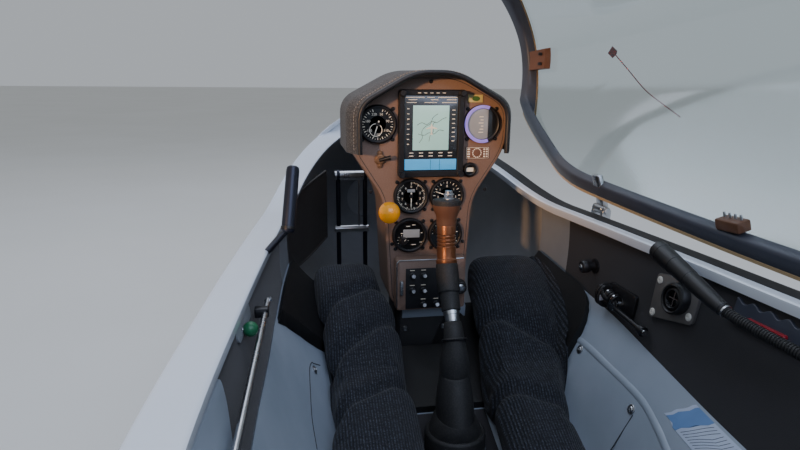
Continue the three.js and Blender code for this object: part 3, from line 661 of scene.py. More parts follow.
@dataclass(frozen=True)
class HullLines:
    """The fuselage's outer surface, an egg through stations.

    Rows hold y, half width at the waist, crown height, waist height and keel height.
    """

    rows: tuple = (
        (0, 336, 408, -100, -452),
        (350, 347, 428, -100, -468),
        (700, 342, 398, -100, -470),
        (950, 324, 360, -100, -462),
        (1150, 305, 328, -100, -447),
        (1350, 283, 284, -101, -425),
        (1550, 257, 229, -104, -396),
        (1750, 224, 171, -110, -360),
        (1900, 188, 112, -118, -326),
        (2050, 143, 38, -130, -286),
        (2150, 105, -22, -140, -254),
        (2230, 66, -80, -150, -222),
        (2280, 32, -124, -160, -192),
        (2300, 6, -158, -166, -173),
    )
    lower_roundness: float = 2.35

    def at(self, column: int, y: float) -> float:
        """Returns a column's value at a station."""
        return curve_through(self.rows, column, y)

    def point(self, y: float, angle: float, depth: float) -> tuple[float, float, float]:
        """Returns the point of the right half at a station and an angle.

        Args:
            y: the station.
            angle: -90 degrees at the keel, 0 at the waist, 90 at the crown.
            depth: how far inside the outer surface.

        Returns:
            The point.
        """
        half, crown, waist, keel = (self.at(c, y) for c in (1, 2, 3, 4))
        c, s = max(math.cos(math.radians(angle)), 0.0), math.sin(math.radians(angle))
        if s >= 0:
            return (half - depth) * c, y, waist + (crown - depth - waist) * s
        power = 2 / self.lower_roundness
        return (half - depth) * c**power, y, waist - (waist - keel - depth) * (-s) ** power

    def upper_angle(self, y: float, z: float, depth: float) -> float:
        """Returns the angle at which the upper surface has a height."""
        waist = self.at(3, y)
        share = (z - waist) / (self.at(2, y) - depth - waist)
        return math.degrees(math.asin(min(max(share, -1), 1)))

    def half_at(self, y: float, z: float, depth: float) -> float:
        """Returns the half width at a station and a height."""
        waist, half = self.at(3, y), self.at(1, y) - depth
        if z >= waist:
            return half * math.sqrt(max(1 - ((z - waist) / (self.at(2, y) - depth - waist)) ** 2, 0))
        share = min((waist - z) / (waist - self.at(4, y) - depth), 1)
        return half * (1 - share**self.lower_roundness) ** (1 / self.lower_roundness)


def curve_through(rows: Sequence[Row], column: int, y: float) -> float:
    """Reads a table of stations along a smooth curve.

    Args:
        rows: the table, whose first column is the station.
        column: the column to read.
        y: the station.

    Returns:
        The value.
    """
    last = len(rows) - 1
    if y <= rows[0][0]:
        return rows[0][column]
    if y >= rows[last][0]:
        return rows[last][column]
    i = next(k for k in range(last) if rows[k + 1][0] >= y)

    def slope(k: int) -> float:
        """Returns the table's slope at a row."""
        a, b = max(k - 1, 0), min(k + 1, last)
        return (rows[b][column] - rows[a][column]) / (rows[b][0] - rows[a][0])

    span = rows[i + 1][0] - rows[i][0]
    t = (y - rows[i][0]) / span
    rise = rows[i + 1][column] - rows[i][column]
    start, end = slope(i) * span, slope(i + 1) * span
    return rows[i][column] + start * t + (3 * rise - 2 * start - end) * t * t + (start + end - 2 * rise) * t**3


LINES = HullLines()


@dataclass(frozen=True)
class CanopyJoint:
    """The line where the canopy meets the hull."""

    rear: float = 70
    sill: tuple = ((1380, 0), (1460, 12), (1550, 38), (1680, 72), (1840, 116))
    front: float = 1350
    reach: float = 450
    half_width: float = 278
    roundness: float = 2.3
    hoop_steps: int = 14
    sill_steps: int = 64
    front_steps: int = 30

    def height(self, y: float) -> float:
        """Returns the joint's height along the sill."""
        ys, zs = zip(*self.sill)
        return float(np.mean(np.interp([y - 30, y - 15, y, y + 15, y + 30], ys, zs)))

    def plan(self, angle: float, inset: float) -> tuple[float, float]:
        """Returns x and y of the front curve at an angle in degrees."""
        c, s = math.cos(math.radians(angle)), math.sin(math.radians(angle))
        power = 2 / self.roundness
        return self.half_width * max(c, 0) ** power, self.front - inset + self.reach * s**power

    def loop(self, depth: float, inset: float, lift: float | None = None) -> list[tuple[float, float]]:
        """Follows the joint's right half from the rear hoop's top to the front's middle.

        Args:
            depth: how far inside the outer surface.
            inset: how far inside the opening at its ends.
            lift: how far above the sills, the same as inset if not given.

        Returns:
            Pairs of station and angle on the surface at that depth.
        """
        lift = inset if lift is None else lift
        rear = self.rear + inset
        foot = LINES.upper_angle(rear, self.height(rear) + lift, depth)
        found = [(rear, 90 + (foot - 90) * k / self.hoop_steps) for k in range(self.hoop_steps)]
        turn = self._turn(depth, inset, lift)
        y_turn = self.plan(turn, inset)[1]
        for k in range(self.sill_steps):
            y = rear + (y_turn - rear) * k / self.sill_steps
            found.append((y, LINES.upper_angle(y, self.height(y) + lift, depth)))
        for k in range(self.front_steps + 1):
            x, y = self.plan(turn + (90 - turn) * k / self.front_steps, inset)
            half = LINES.at(1, y) - depth
            found.append((y, math.degrees(math.acos(min(x / half, 1)))))
        return found

    def _turn(self, depth: float, inset: float, lift: float) -> float:
        """Returns the plan angle at which the sill meets the front curve."""
        low, high = 0.0, 90.0
        for _ in range(40):
            middle = (low + high) / 2
            x, y = self.plan(middle, inset)
            half, waist = LINES.at(1, y) - depth, LINES.at(3, y)
            share = 1 - (x / half) ** 2
            height = waist + (LINES.at(2, y) - depth - waist) * math.sqrt(share) if share > 0 else -1e3
            if height < self.height(y) + lift:
                low = middle
            else:
                high = middle
        return high


JOINT = CanopyJoint()


# The studio


@dataclass
class Studio:
    """Camera, floor and lights."""

    focal_px: float = 613.0
    picture_px: float = 800.0
    sensor: float = 36.0
    eye: tuple = (-0.2236, 0.350, 0.226)
    pitch: float = 13.9
    yaw: float = 10.2
    roll: float = 0.6
    floor_size: float = 60.0
    cone: float = 5.4

    def camera(self) -> None:
        """Puts the camera where the photograph was taken."""
        data = bpy.data.cameras.new("View")
        data.sensor_width = self.sensor
        data.lens = self.focal_px / self.picture_px * self.sensor
        data.clip_start = 0.02
        made = bpy.data.objects.new("View", data)
        pitch, yaw, roll = (math.radians(a) for a in (self.pitch, self.yaw, self.roll))
        ahead = Vector((math.sin(yaw) * math.cos(pitch), math.cos(yaw) * math.cos(pitch), -math.sin(pitch)))
        right = Vector((math.cos(yaw), -math.sin(yaw), 0))
        up = right.cross(ahead)
        side = math.cos(roll) * right + math.sin(roll) * up
        top = -math.sin(roll) * right + math.cos(roll) * up
        turn = Matrix((side, top, -ahead)).transposed().to_4x4()
        made.matrix_world = Matrix.Translation(Vector(self.eye)) @ turn
        bpy.context.scene.collection.objects.link(made)
        bpy.context.scene.camera = made

    def floor(self, height: float) -> None:
        """Lays the pale floor at a height in metres."""
        half = self.floor_size / 2
        mesh = bpy.data.meshes.new("Floor")
        mesh.from_pydata(
            [(-half, -half, height), (half, -half, height), (half, half, height), (-half, half, height)], [],
            [(0, 1, 2, 3)]
        )
        mesh.materials.append(FLOOR.material())
        made = bpy.data.objects.new("Floor", mesh)
        bpy.context.scene.collection.objects.link(made)
        made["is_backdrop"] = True

    def lights(self) -> None:
        """Hangs the soft lights and sets the pale surroundings."""
        world = bpy.data.worlds.new("Surroundings")
        world.use_nodes = True
        world.node_tree.nodes["Background"].inputs["Color"].default_value = linear("DDE3EA")
        world.node_tree.nodes["Background"].inputs["Strength"].default_value = 0.6
        bpy.context.scene.world = world
        for name, kind, place, aim, size, power, colour in (
            ("Key", "SPOT", (-3.2, -2.4, 0.86), (0.08, 1.34, 0.17), 0.2, 1200, "FFC58C"),
            ("Fill", "AREA", (0.5, -2.0, 2.6), (0.0, 1.2, -0.2), 3.0, 95, "CFDEFF"),
            ("Top", "AREA", (-0.3, 2.6, 3.2), (0.0, 1.1, 0.0), 3.0, 60, "E4ECFF"),
        ):
            data = bpy.data.lights.new(name, kind)
            data.energy, data.color = power, linear(colour)[:3]
            if kind == "SPOT":
                data.spot_size, data.spot_blend, data.shadow_soft_size = math.radians(self.cone), 0.4, size
            else:
                data.size = size
            made = bpy.data.objects.new(name, data)
            made.location = place
            made.rotation_euler = (Vector(aim) - Vector(place)).to_track_quat("-Z", "Y").to_euler()
            bpy.context.scene.collection.objects.link(made)


# Pale studio floor, dull.
FLOOR = Finish("Floor_vinyl_matt_pale", "D9D8D4", "D2D1CC", 0.85, patch=900)


# Hull


def on_hull(pairs: Iterable, depth: float, side: int = 1) -> list:
    """Turns pairs of station and angle to points at a depth under the surface."""
    found = []
    for y, angle in pairs:
        x, y, z = LINES.point(y, angle, depth)
        found.append((side * x, y, z))
    return found


def whole_loop(right: list) -> list:
    """Closes a right half that starts and ends on the centre plane with its mirror image."""
    return right + [(-x, y, z) for x, y, z in reversed(right[1:-1])]


@dataclass
class Hull:
    """The fuselage shell with its sill flange, and the rear frame."""

    skin: float = 9
    flange: float = 42
    flange_depth: float = 14
    seal_depth: float = 27
    arch_room: float = 9
    start: float = 12.3
    nose: float = 2300
    inner_nose: float = 2235
    keel_turn: float = 1700
    skin_rows: int = 30
    seal_bands: tuple = (2, 8)

    def feet(self, nose: float) -> list[tuple[float, float]]:
        """Returns the station and angle where each line of the shell ends, from rear crown to nose."""
        found = [(self.start, 90 - 180 * k / JOINT.hoop_steps) for k in range(JOINT.hoop_steps)]
        steps = JOINT.sill_steps
        found += [(self.start + (self.keel_turn - self.start) * k / steps, -90) for k in range(steps)]
        along = 18
        for k in range(JOINT.front_steps + 1):
            if k < along:
                found.append((self.keel_turn + (nose - self.keel_turn) * k / along, -90))
            else:
                found.append((nose, -90 + 180 * (k - along) / (JOINT.front_steps - along)))
        return found

    def skin_rings(self, nose: float, depth: float, top: list) -> list:
        """Returns rings of one skin face, from its feet up to the joint."""
        feet = self.feet(nose)
        tip = (0.0, nose + (1.5 if depth == 0 else 0), (LINES.at(2, nose) + LINES.at(4, nose)) / 2)
        first = [tip if y >= nose else p for p, (y, _) in zip(on_hull(feet, depth), feet)]
        rings = [whole_loop(first)]
        for r in range(self.skin_rows + 1):
            s = r / self.skin_rows
            pairs = [(a + (c - a) * s, b + (d - b) * s) for (a, b), (c, d) in zip(feet, top)]
            rings.append(whole_loop(on_hull(pairs, depth)))
        return rings

    def build(self) -> None:
        """Makes the shell and the rear frame."""
        deep, room = self.flange_depth, self.arch_room
        rings = self.skin_rings(self.nose, 0, JOINT.loop(0, -4))
        rim = [
            (0.3, -2.2, -2.2), (1.2, -0.9, -0.9), (2.6, -0.2, -0.2), (4.5, 0, 0), (8.8, 0, 0),
            (self.skin, -room, 0), (self.seal_depth, -room, 0), (self.flange - 5, -room, 0),
            (self.flange - 2.5, -room - 0.4, -0.4), (self.flange - 0.6, -room - 1.6, -1.6),
            (self.flange, -room - 4, -4), (self.flange, -room - deep, -deep),
            (25, -room - deep, -deep), (self.skin, -room - deep, -deep),
        ]
        for depth, inset, lift in rim:
            rings.append(whole_loop(on_hull(JOINT.loop(depth, inset, lift), depth)))
        outside = len(rings) - 1
        rings += list(reversed(self.skin_rings(self.inner_nose, self.skin, JOINT.loop(self.skin, -room - deep, -deep))))
        shell = loft(rings, round_trip=True)
        size = len(rings[0])
        last = (len(rings) - 1) * size
        hoop = JOINT.hoop_steps
        faces = shell.faces[:last] + [f for k, f in enumerate(shell.faces[last:]) if k < hoop or k >= size - hoop]
        piece = Piece("hull", GELCOAT, INNER_PAINT, SEAL_AND_GAP_SHADE).add(Shape(shell.points, faces))
        piece.mark(outside * size, len(faces), 1)
        # Painted shade: the outer band of the right sill under the open rail is black for the seal and for the shade in
        # its gap.
        under_rail = (hoop, hoop + JOINT.sill_steps + JOINT.front_steps // 2)
        for band in range(self.skin_rows + self.seal_bands[0], self.skin_rows + self.seal_bands[1]):
            piece.mark(band * size + under_rail[0], band * size + under_rail[1], 2)
        piece.build("gelcoat", "hull_shell", angle=40)
        self.rear_frame()

    def rear_frame(self) -> None:
        """Makes the flat rear frame with its edge land and its screws."""
        def ring(depth: float, y: float) -> list:
            """Returns the frame's outline at a depth inside the hull's surface."""
            right = [LINES.point(6, 90 - 180 * k / 60, depth) for k in range(61)]
            return whole_loop([(x, y, z) for x, _, z in right])

        layers = [
            (60, 11.9), (60, 12), (14, 12), (1.4, 12), (0.4, 11.5), (0, 10.6), (0, 1.4), (0.4, 0.5), (1.4, 0), (14, 0),
            (60, 0)
        ]
        frame = Piece("rear_bulkhead", BULKHEAD, STAINLESS)
        frame.add(loft([ring(d, y) for d, y in layers]))
        for k in range(24):
            x, _, z = LINES.point(6, 7.5 + 15 * k if k < 6 else -90 + 15 * (k - 6) % 90, 22)
            frame.add(screw((x if k % 2 else -x, 0, z), (0, -1, 0), 4.5, 0.9), 1)
        frame.build("gelcoat", "rear_frame")


# Glass-fibre laminate, sanded and sprayed: pale grey with the cloth showing a little.
BULKHEAD = Finish(
    "Glass_fibre_laminate_sprayed_grey", "B9BEC4", "A9AFB6", 0.55, relief=Relief.WEAVE, pitch=4, height=0.05, patch=70
)
# Stainless steel screws and tubes: drawn, bright grey.
STAINLESS = Finish(
    "Stainless_steel_drawn", "C3C5C8", "A7AAAE", 0.28, metallic=1.0, relief=Relief.BRUSHED, pitch=1.2, height=0.02,
    patch=25
)


# Canopy


@dataclass
class Canopy:
    """The side-hinged canopy in its open position."""

    hinge_x: float = 336
    hinge_y: float = 750
    hinge_z: float = 4
    turn: float = math.radians(4)
    opening: float = math.radians(76)
    stations: tuple = (450, 1300)
    gap: float = 2
    arch_gap: float = 3
    arch_back: float = 15
    arch_width: float = 36
    rail_height: float = 18
    depth: float = 25
    glass: float = 4.5
    crown_rows: int = 26
    string: tuple = ((58, 1540), (97, 1494), (138, 1435), (164, 1380), (187, 1323))

    def opened(self) -> Matrix:
        """Returns the matrix that swings the closed canopy open, in millimetres."""
        at = Vector((self.hinge_x, self.hinge_y, self.hinge_z))
        swing = Matrix.Rotation(self.turn, 4, "Z") @ Matrix.Rotation(
            self.opening, 4, "Y"
        ) @ Matrix.Rotation(-self.turn, 4, "Z")
        return Matrix.Translation(at) @ swing @ Matrix.Translation(-at)

    def hinge_at(self, y: float) -> float:
        """Returns the hinge line's x at a station."""
        return self.hinge_x - (y - self.hinge_y) * math.tan(self.turn)

    def sheet(self, depth: float) -> list:
        """Returns the rings of one face of the glass, from its edge to the crown line."""
        edge = JOINT.loop(depth, self.arch_gap, self.gap)
        band = JOINT.loop(depth, self.arch_gap + self.arch_width, self.gap + self.rail_height)
        rear, front = band[0][0], band[-1][0]
        crown = [(rear + (front - rear) * k / (len(band) - 1), 90.0) for k in range(len(band))]
        rings = [whole_loop(on_hull(pairs, depth)) for pairs in (edge, band)]
        for r in range(1, self.crown_rows + 1):
            s = r / self.crown_rows
            pairs = [(a + (c - a) * s, b + (d - b) * s) for (a, b), (c, d) in zip(band, crown)]
            rings.append(whole_loop(on_hull(pairs, depth)))
        return rings

    def build_glass(self) -> None:
        """Makes the moulded glass with its cream edge band."""
        outer, inner = self.sheet(0), self.sheet(self.glass)
        shape = loft(list(reversed(inner)) + outer, capped=False)
        piece = Piece("canopy_bubble", ACRYLIC, EDGE_BAND).add(shape.turned(self.opened()))
        size = len(outer[0])
        middle = len(inner) - 1
        piece.mark((middle - 1) * size, (middle + 2) * size, 1)
        piece.build("glass", "canopy_glass", body=Body.CANOPY, angle=50)

    def build_frame(self) -> None:
        """Makes the frame that the glass is glued to, with its two hinge arms."""
        top, low = self.glass + 0.4, self.depth
        section = [
            (top, 0.02), (top, 0.98), (top + 2, 1.0), (low - 5, 1.0), (low - 1.5, 0.93), (low, 0.8), (low, 0.2),
            (low - 1.5, 0.07), (low - 5, 0), (top + 2, 0)
        ]
        rings = []
        for depth, share in section:
            inset = self.arch_back + (self.arch_gap + self.arch_width - self.arch_back) * share
            lift = self.gap + self.rail_height * share
            rings.append(whole_loop(on_hull(JOINT.loop(depth, inset, lift), depth)))
        piece = Piece("canopy_rail", FRAME_PAINT, STAINLESS).add(loft(rings, round_trip=True).turned(self.opened()))
        for y in self.stations:
            x = self.hinge_at(y)
            arm = block(x - 60, x - 2, y - 11, y + 11, self.hinge_z - 1.5, self.hinge_z + 8, 2)
            ring = [(4.6, -11), (4.6, 11), (7.4, 11), (8, 10.4), (8, -10.4), (7.4, -11)]
            axis = (-math.sin(self.turn), math.cos(self.turn), 0)
            knuckle = lathe(ring, (x, y, self.hinge_z), axis, 28, closed=True)
            for shape in (arm, knuckle):
                piece.add(shape.turned(self.opened()), 1)
        piece.build("frame", "canopy_frame", body=Body.CANOPY, angle=35)

    def build_lugs(self) -> None:
        """Makes the two hinge lugs on the right sill."""
        axis = (-math.sin(self.turn), math.cos(self.turn), 0)
        for name, y in zip(("rear", "front"), self.stations):
            x = self.hinge_at(y)
            piece = Piece(f"hinge_fork_{name}", STAINLESS)
            skin = LINES.half_at(y, -25, -1.2)
            for sign in (-1, 1):
                low, high = sorted((sign * 11.6, sign * 19.6))
                cheek = rounded_outline(
                    [(skin, -39), (x + 6, -39), (x + 8, 4), (x + 3, 11), (x - 5, 11), (skin + 2, -12)], 5
                )
                piece.add(prism(cheek, y + low, y + high, "y", 0.8))
                piece.add(
                    spun(
                        [(6.5, 0), (6.5, 2.2), (5.6, 3)], (x, y + sign * 19.6, self.hinge_z), [sign * a for a in axis],
                        6
                    )
                )
            piece.add(spun([(4, -17), (4, 17)], (x, y, self.hinge_z), axis, 20))
            piece.add(block(skin, x + 6, y - 19, y + 19, -39, -17, 1.5))
            piece.build("steel", f"hinge_lug_{name}")

    def build_fittings(self) -> None:
        """Makes the catch on the arch and the lock on the rail."""
        catch = Piece("arch_hook", CATCH_PLASTIC, BLACK_PLASTIC)
        rows = [[LINES.point(y, a, d) for a in (85, 81, 77, 73)] for d in (9, 24) for y in (1708, 1726, 1742, 1756)]
        catch.add(slab(rows[:4], rows[4:]).turned(self.opened()))
        for y, angle in ((1718, 82), (1718, 76)):
            x, _, z = LINES.point(y, angle, 24)
            catch.add(spun([(3.4, 0), (3.4, 7), (2.6, 8.5)], (x, y, z), (-0.3, 0, -1), 14).turned(self.opened()), 1)
        catch.build("bronze", "arch_catch", body=Body.CANOPY)

        lock = Piece("rail_latch", CATCH_PLASTIC, STAINLESS)
        x1 = LINES.half_at(1006, 12, self.depth + 0.4)
        body = block(x1 - 15, x1, 986, 1026, 3.4, 23.5, 2.5)
        lock.add(body.turned(self.opened()))
        for k in range(4):
            pin = spun([(1.7, 0), (1.7, 6), (1.2, 7)], (x1 - 15, 992 + 9.3 * k, 15), (-1, 0, 0), 12)
            lock.add(pin.turned(self.opened()), 1)
        lock.build("bronze", "rail_lock", body=Body.CANOPY)

    def build_string(self) -> None:
        """Makes the wool yaw string and the tape that holds its front end."""
        knots = []
        for x, y in self.string:
            angle = math.degrees(math.acos(x / LINES.at(1, y)))
            knots.append(LINES.point(y, angle, -1.6))
        turn = self.opened()
        line = [MM * (turn @ p) for p in smooth_path(knots, 25)]
        data = bpy.data.curves.new("yaw_wool", "CURVE")
        data.dimensions, data.bevel_depth, data.bevel_resolution, data.use_fill_caps = "3D", MM, 2, True
        spline = data.splines.new("POLY")
        spline.points.add(len(line) - 1)
        for point, place in zip(spline.points, line):
            point.co = (*place, 1)
        data.materials.append(WOOL.material())
        made = bpy.data.objects.new("yaw_wool", data)
        bpy.context.scene.collection.objects.link(made)
        dressed(made, Body.CANOPY, "red", "yaw_string")

        tape = Piece("string_tape", TAPE)
        (x0, y0), (x1, y1) = self.string[0], self.string[1]
        along = Vector((x1 - x0, y1 - y0)).normalized()
        side = Vector((-along.y, along.x))
        faces = []
        for depth in (-2.9, -0.1):
            rows = []
            for u in (-9, -3, 3, 9):
                spots = [Vector((x0, y0)) + along * u + side * v for v in (-8, -2.5, 2.5, 8)]
                row = []
                for v, spot in zip((-8, -2.5, 2.5, 8), spots):
                    lift = depth if depth > -1 or abs(v) < 5 else -0.35
                    row.append(LINES.point(spot.y, math.degrees(math.acos(spot.x / LINES.at(1, spot.y))), lift))
                rows.append(row)
            faces.append(rows)
        tape.add(slab(faces[0], faces[1]).turned(turn))
        tape.build("red", body=Body.CANOPY)

    def build(self) -> None:
        """Makes the canopy's pieces."""
        self.build_string()
        self.build_glass()
        self.build_frame()
        self.build_lugs()
        self.build_fittings()


# Blown acrylic: clear, with a faint cool tint.
ACRYLIC = Finish("Acrylic_blown_clear", "EAF3F4", "E6F1F2", 0.03, ior=1.49, transmission=1.0, patch=400)
# Band along the acrylic's edge: cream.
EDGE_BAND = Finish("Acrylic_edge_band_cream", "CFB48C", "C6A97F", 0.3, ior=1.49, patch=120, coat=0.3)
# Filled epoxy frame, sprayed dark blue grey.
FRAME_PAINT = Finish(
    "Epoxy_frame_sprayed_blue_grey", "3A3E4A", "454956", 0.42, relief=Relief.PEEL, pitch=2.5, height=0.06, patch=60
)
# Moulded nylon: brown, waxy.
CATCH_PLASTIC = Finish(
    "Nylon_moulded_brown", "6E4A35", "5D3E2D", 0.45, relief=Relief.GRAIN, pitch=1.2, height=0.05, patch=20
)
# Moulded ABS: black, fine grain.
BLACK_PLASTIC = Finish(
    "ABS_moulded_black", "17171A", "1E1E21", 0.42, relief=Relief.GRAIN, pitch=0.9, height=0.05, patch=30
)
# Spun wool: red, dull.
WOOL = Finish("Wool_spun_red", "B3121A", "8E0D14", 0.95, relief=Relief.WEAVE, pitch=1.2, height=0.2, patch=6, sheen=0.3)
# Adhesive cloth tape: red.
TAPE = Finish("Adhesive_cloth_tape_red", "A01822", "8A121B", 0.6, relief=Relief.WEAVE, pitch=1.5, height=0.05, patch=10)


# Cabin


def rounded_line(points: Sequence[Row], radius: float, steps: int = 4) -> list[Vector]:
    """Rounds the inner corners of an open line with short curves."""
    knots = [Vector(p) for p in points]
    found = [knots[0]]
    for before, p, after in zip(knots, knots[1:], knots[2:]):
        found += corner(before, p, after, radius, spread(0, 1, steps + 1))
    return found + [knots[-1]]


def evenly(line: Sequence[Vector], count: int) -> list[Vector]:
    """Returns evenly spaced points along a line."""
    places = np.concatenate([[0], np.cumsum([(b - a).length for a, b in zip(line, line[1:])])])
    columns = np.array(line).T
    return [Vector(p) for p in zip(*(np.interp(spread(0, places[-1], count), places, c) for c in columns))]


def carve(made: Object, *holes: Shape) -> None:
    """Cuts closed shapes, in millimetres, out of an object."""
    for shape in holes:
        mesh = bpy.data.meshes.new("hole")
        mesh.from_pydata((shape.points * MM).tolist(), [], shape.faces)
        work = bmesh.new()
        work.from_mesh(mesh)
        bmesh.ops.recalc_face_normals(work, faces=work.faces)
        work.to_mesh(mesh)
        work.free()
        cutter = bpy.data.objects.new("hole", mesh)
        bpy.context.scene.collection.objects.link(cutter)
        cutting = made.modifiers.new("Cut", "BOOLEAN")
        cutting.operation, cutting.object, cutting.solver = "DIFFERENCE", cutter, "EXACT"
        applied(made)
        bpy.data.objects.remove(cutter)


def eased(made: Object, radius: float) -> None:
    """Rounds an object's sharp edges to a radius in millimetres."""
    rounding = made.modifiers.new("Round edges", "BEVEL")
    rounding.width, rounding.segments, rounding.limit_method = radius * MM, 3, "ANGLE"
    rounding.angle_limit = math.radians(50)


def ellipse(x: float, y: float, wide: float, deep: float, sides: int) -> list[Row]:
    """Returns the anticlockwise outline of an ellipse from its two radii."""
    return [(x + wide * math.cos(a), y + deep * math.sin(a)) for a in spread(0, 2 * math.pi, sides + 1)[:-1]]


def applied(made: Object) -> None:
    """Turns what an object's modifiers make into its own mesh."""
    graph = bpy.context.evaluated_depsgraph_get()
    mesh = bpy.data.meshes.new_from_object(made.evaluated_get(graph))
    made.modifiers.clear()
    made.data = mesh


# Moulded leatherette over foam: black, fine leather grain.
LEATHERETTE = Finish(
    "Leatherette_over_foam_black", "151517", "1D1C1D", 0.55, relief=Relief.LEATHER, pitch=1.6, height=0.12, patch=60
)
# Printed vinyl label: pale blue, half matt.
LABEL = Finish("Vinyl_label_matt_pale_blue", "BFCBE0", "B4C1D8", 0.45, patch=40)
# Screen-printed band on the label: mid blue.
BLUE_PRINT = Finish("Screen_print_blue", "6E93C4", "6388BA", 0.45, patch=20)
# Butyl sealant in the joints: dark grey.
SEALANT = Finish("Butyl_sealant_dark_grey", "2B2E33", "33363B", 0.7, patch=30)


@dataclass
class Cabin:
    """The seat tub, the side linings and the pads on them.

    Rows of the tub hold y, floor half width, floor height, ledge x and z, edge x and z. On the left the
    ledge is higher: its rows hold y, ledge x and z, edge z.
    """

    tub: tuple = (
        (470, 172, -345, 224, -208, 252, -180),
        (600, 180, -366, 226, -208, 252, -178),
        (750, 182, -370, 226, -205, 252, -174),
        (900, 184, -358, 224, -199, 251, -161),
        (1030, 184, -333, 221, -190, 250, -143),
        (1150, 180, -296, 219, -174, 250, -127),
        (1300, 172, -233, 212, -152, 243, -112),
        (1400, 166, -192, 204, -138, 232, -98),
    )
    left_ledge: tuple = (
        (470, 240, -190, -150),
        (600, 241, -182, -128),
        (750, 242, -175, -109),
        (900, 241, -168, -103),
        (1030, 238, -160, -105),
        (1150, 231, -150, -107),
        (1300, 221, -136, -104),
        (1400, 209, -127, -96),
    )
    corner: float = 30
    sheet: float = 4
    ends: tuple = (470, 1386)
    well: float = 45
    stick_y: float = 1121
    pod_notch: tuple = (-66, 66, 1296, 1440)
    mat: tuple = (-60, 63, 870, 1177)
    mat_hole: tuple = (1120, 45.4)
    pad: float = 11
    pad_rear: float = 1180
    pad_corner: float = 1130
    pad_edge: tuple = ((-181, 1260), (-200, 1239), (-218, 1217), (-239, 1183), (-252, 1152), (-300, 1132))
    felt_end: float = 1306
    wall_end: float = 1400
    screws: tuple = ((1, 1168, 0.78), (1, 1023, 0.8), (-1, 1196, 0.675), (-1, 990, 0.7), (1, 800, 0.8), (-1, 800, 0.7))
    ridge: tuple = (
        (1206, 0.77), (1186, 0.82), (1100, 0.85), (1018, 0.87), (970, 0.85), (929, 0.82), (850, 0.8), (600, 0.8),
        (490, 0.8)
    )
    seams: tuple = (
        ((1, 1016, 0.79), (1, 1022, 0.7), (1, 1030, 0.5)),
        (
            (-1, 1222, 0.645), (-1, 1206, 0.69), (-1, 1199, 0.711), (-1, 1178, 0.718), (-1, 1138, 0.702),
            (-1, 1092, 0.666), (-1, 1056, 0.618)
        )
    )
    label: tuple = (((972, 0.888), (942, 0.988)), ((880, 0.875), (830, 0.985)))

    def read(self, column: int, y: float) -> float:
        """Returns a column of the tub's table at a station."""
        return curve_through(self.tub, column, y)

    def wall_line(self, side: int, y: float) -> tuple[Vector, Vector]:
        """Returns x and z at the top and at the foot of a side lining's inner face."""
        top = Vector((LINES.half_at(y, -14, 42) + 6, -14.3))
        foot = Vector((self.read(5, y) + 0.3, self.read(6, y) - 8))
        if side > 0:
            return top, foot
        low = curve_through(self.left_ledge, 3, y) - 8
        return top, top.lerp(foot, (low - top.y) / (foot.y - top.y))

    def half_line(self, y: float, lift: float, count: int = 36, side: int = 1) -> list[Vector]:
        """Returns x, taken as positive, and z along one half of the tub from the middle to its edge."""
        floor_x, floor_z, ledge_x, ledge_z, edge_x, edge_z = (self.read(c, y) for c in range(1, 7))
        if side < 0:
            ledge_x, ledge_z, edge_z = (curve_through(self.left_ledge, c, y) for c in (1, 2, 3))
            edge_x = self.wall_line(side, y)[1].x - 0.3
        knots = [
            (0, floor_z), (floor_x - self.corner, floor_z), (floor_x, floor_z + self.corner), (ledge_x, ledge_z),
            (edge_x, edge_z)
        ]
        line = rounded_line(knots, 26, 6)
        moved = [Vector((p.x - 0.6 * lift * min(p.x / floor_x, 1), p.y + lift)) for p in line]
        return evenly(moved, count)

    def spot(self, side: int, y: float, share: float, lift: float = 0) -> tuple[Vector, Vector]:
        """Finds a place on the tub.

        Args:
            side: 1 on the right, -1 on the left.
            y: the station.
            share: 0 in the middle, 1 at the edge.
            lift: height above the tub.

        Returns:
            The point and the direction that stands out from the surface.
        """
        line = self.half_line(y, lift, 101, side)
        k = min(round(share * 100), 99)
        along = (line[k + 1] - line[k]).normalized()
        return Vector((side * line[k].x, y, line[k].y)), Vector((-side * along.y, 0, along.x))

    def sheet_over(
        self, y0: float, y1: float, top: float, bottom: float, reach: Callable[[float, int], float], steps: int = 50
    ) -> Shape:
        """Makes a sheet that follows the tub.

        Args:
            y0: the rear station.
            y1: the front station.
            top: lift of the upper face.
            bottom: lift of the lower face.
            reach: for a station and a side, the share of the half width that the sheet covers.
            steps: rows.

        Returns:
            The sheet.
        """
        faces = []
        for lift in (top, bottom):
            rows = []
            for s in spread(0, 1, steps):
                y = y0 + (y1 - y0) * s
                halves = []
                for side in (-1, 1):
                    line = self.half_line(y, lift, 120, side)
                    wide = [line[int(round(v * 119))] for v in spread(0, reach(y, side), 30)]
                    halves.append([(side * p.x, y, p.y) for p in wide])
                rows.append(halves[0][:0:-1] + halves[1])
            faces.append(rows)
        return slab(faces[0], faces[1])

    def build_tub(self) -> None:
        """Makes the tub with its screws, its sealed joint and its label."""
        y0, y1 = self.ends
        piece = Piece("seat_pan", TUB_PAINT).add(self.sheet_over(y0, y1, 0, -self.sheet, lambda y, side: 1.0, 60))
        made = piece.build("tub", "seat_tub", angle=40)
        circle = ellipse(0, self.stick_y, self.well, self.well, 48)
        x0, x1, n0, n1 = self.pod_notch
        carve(made, prism(circle, -460, -240, "z"), prism([(x0, n0), (x1, n0), (x1, n1), (x0, n1)], -430, 0, "z"))
        made.data.shade_smooth()
        made.data.set_sharp_from_angle(angle=math.radians(40))

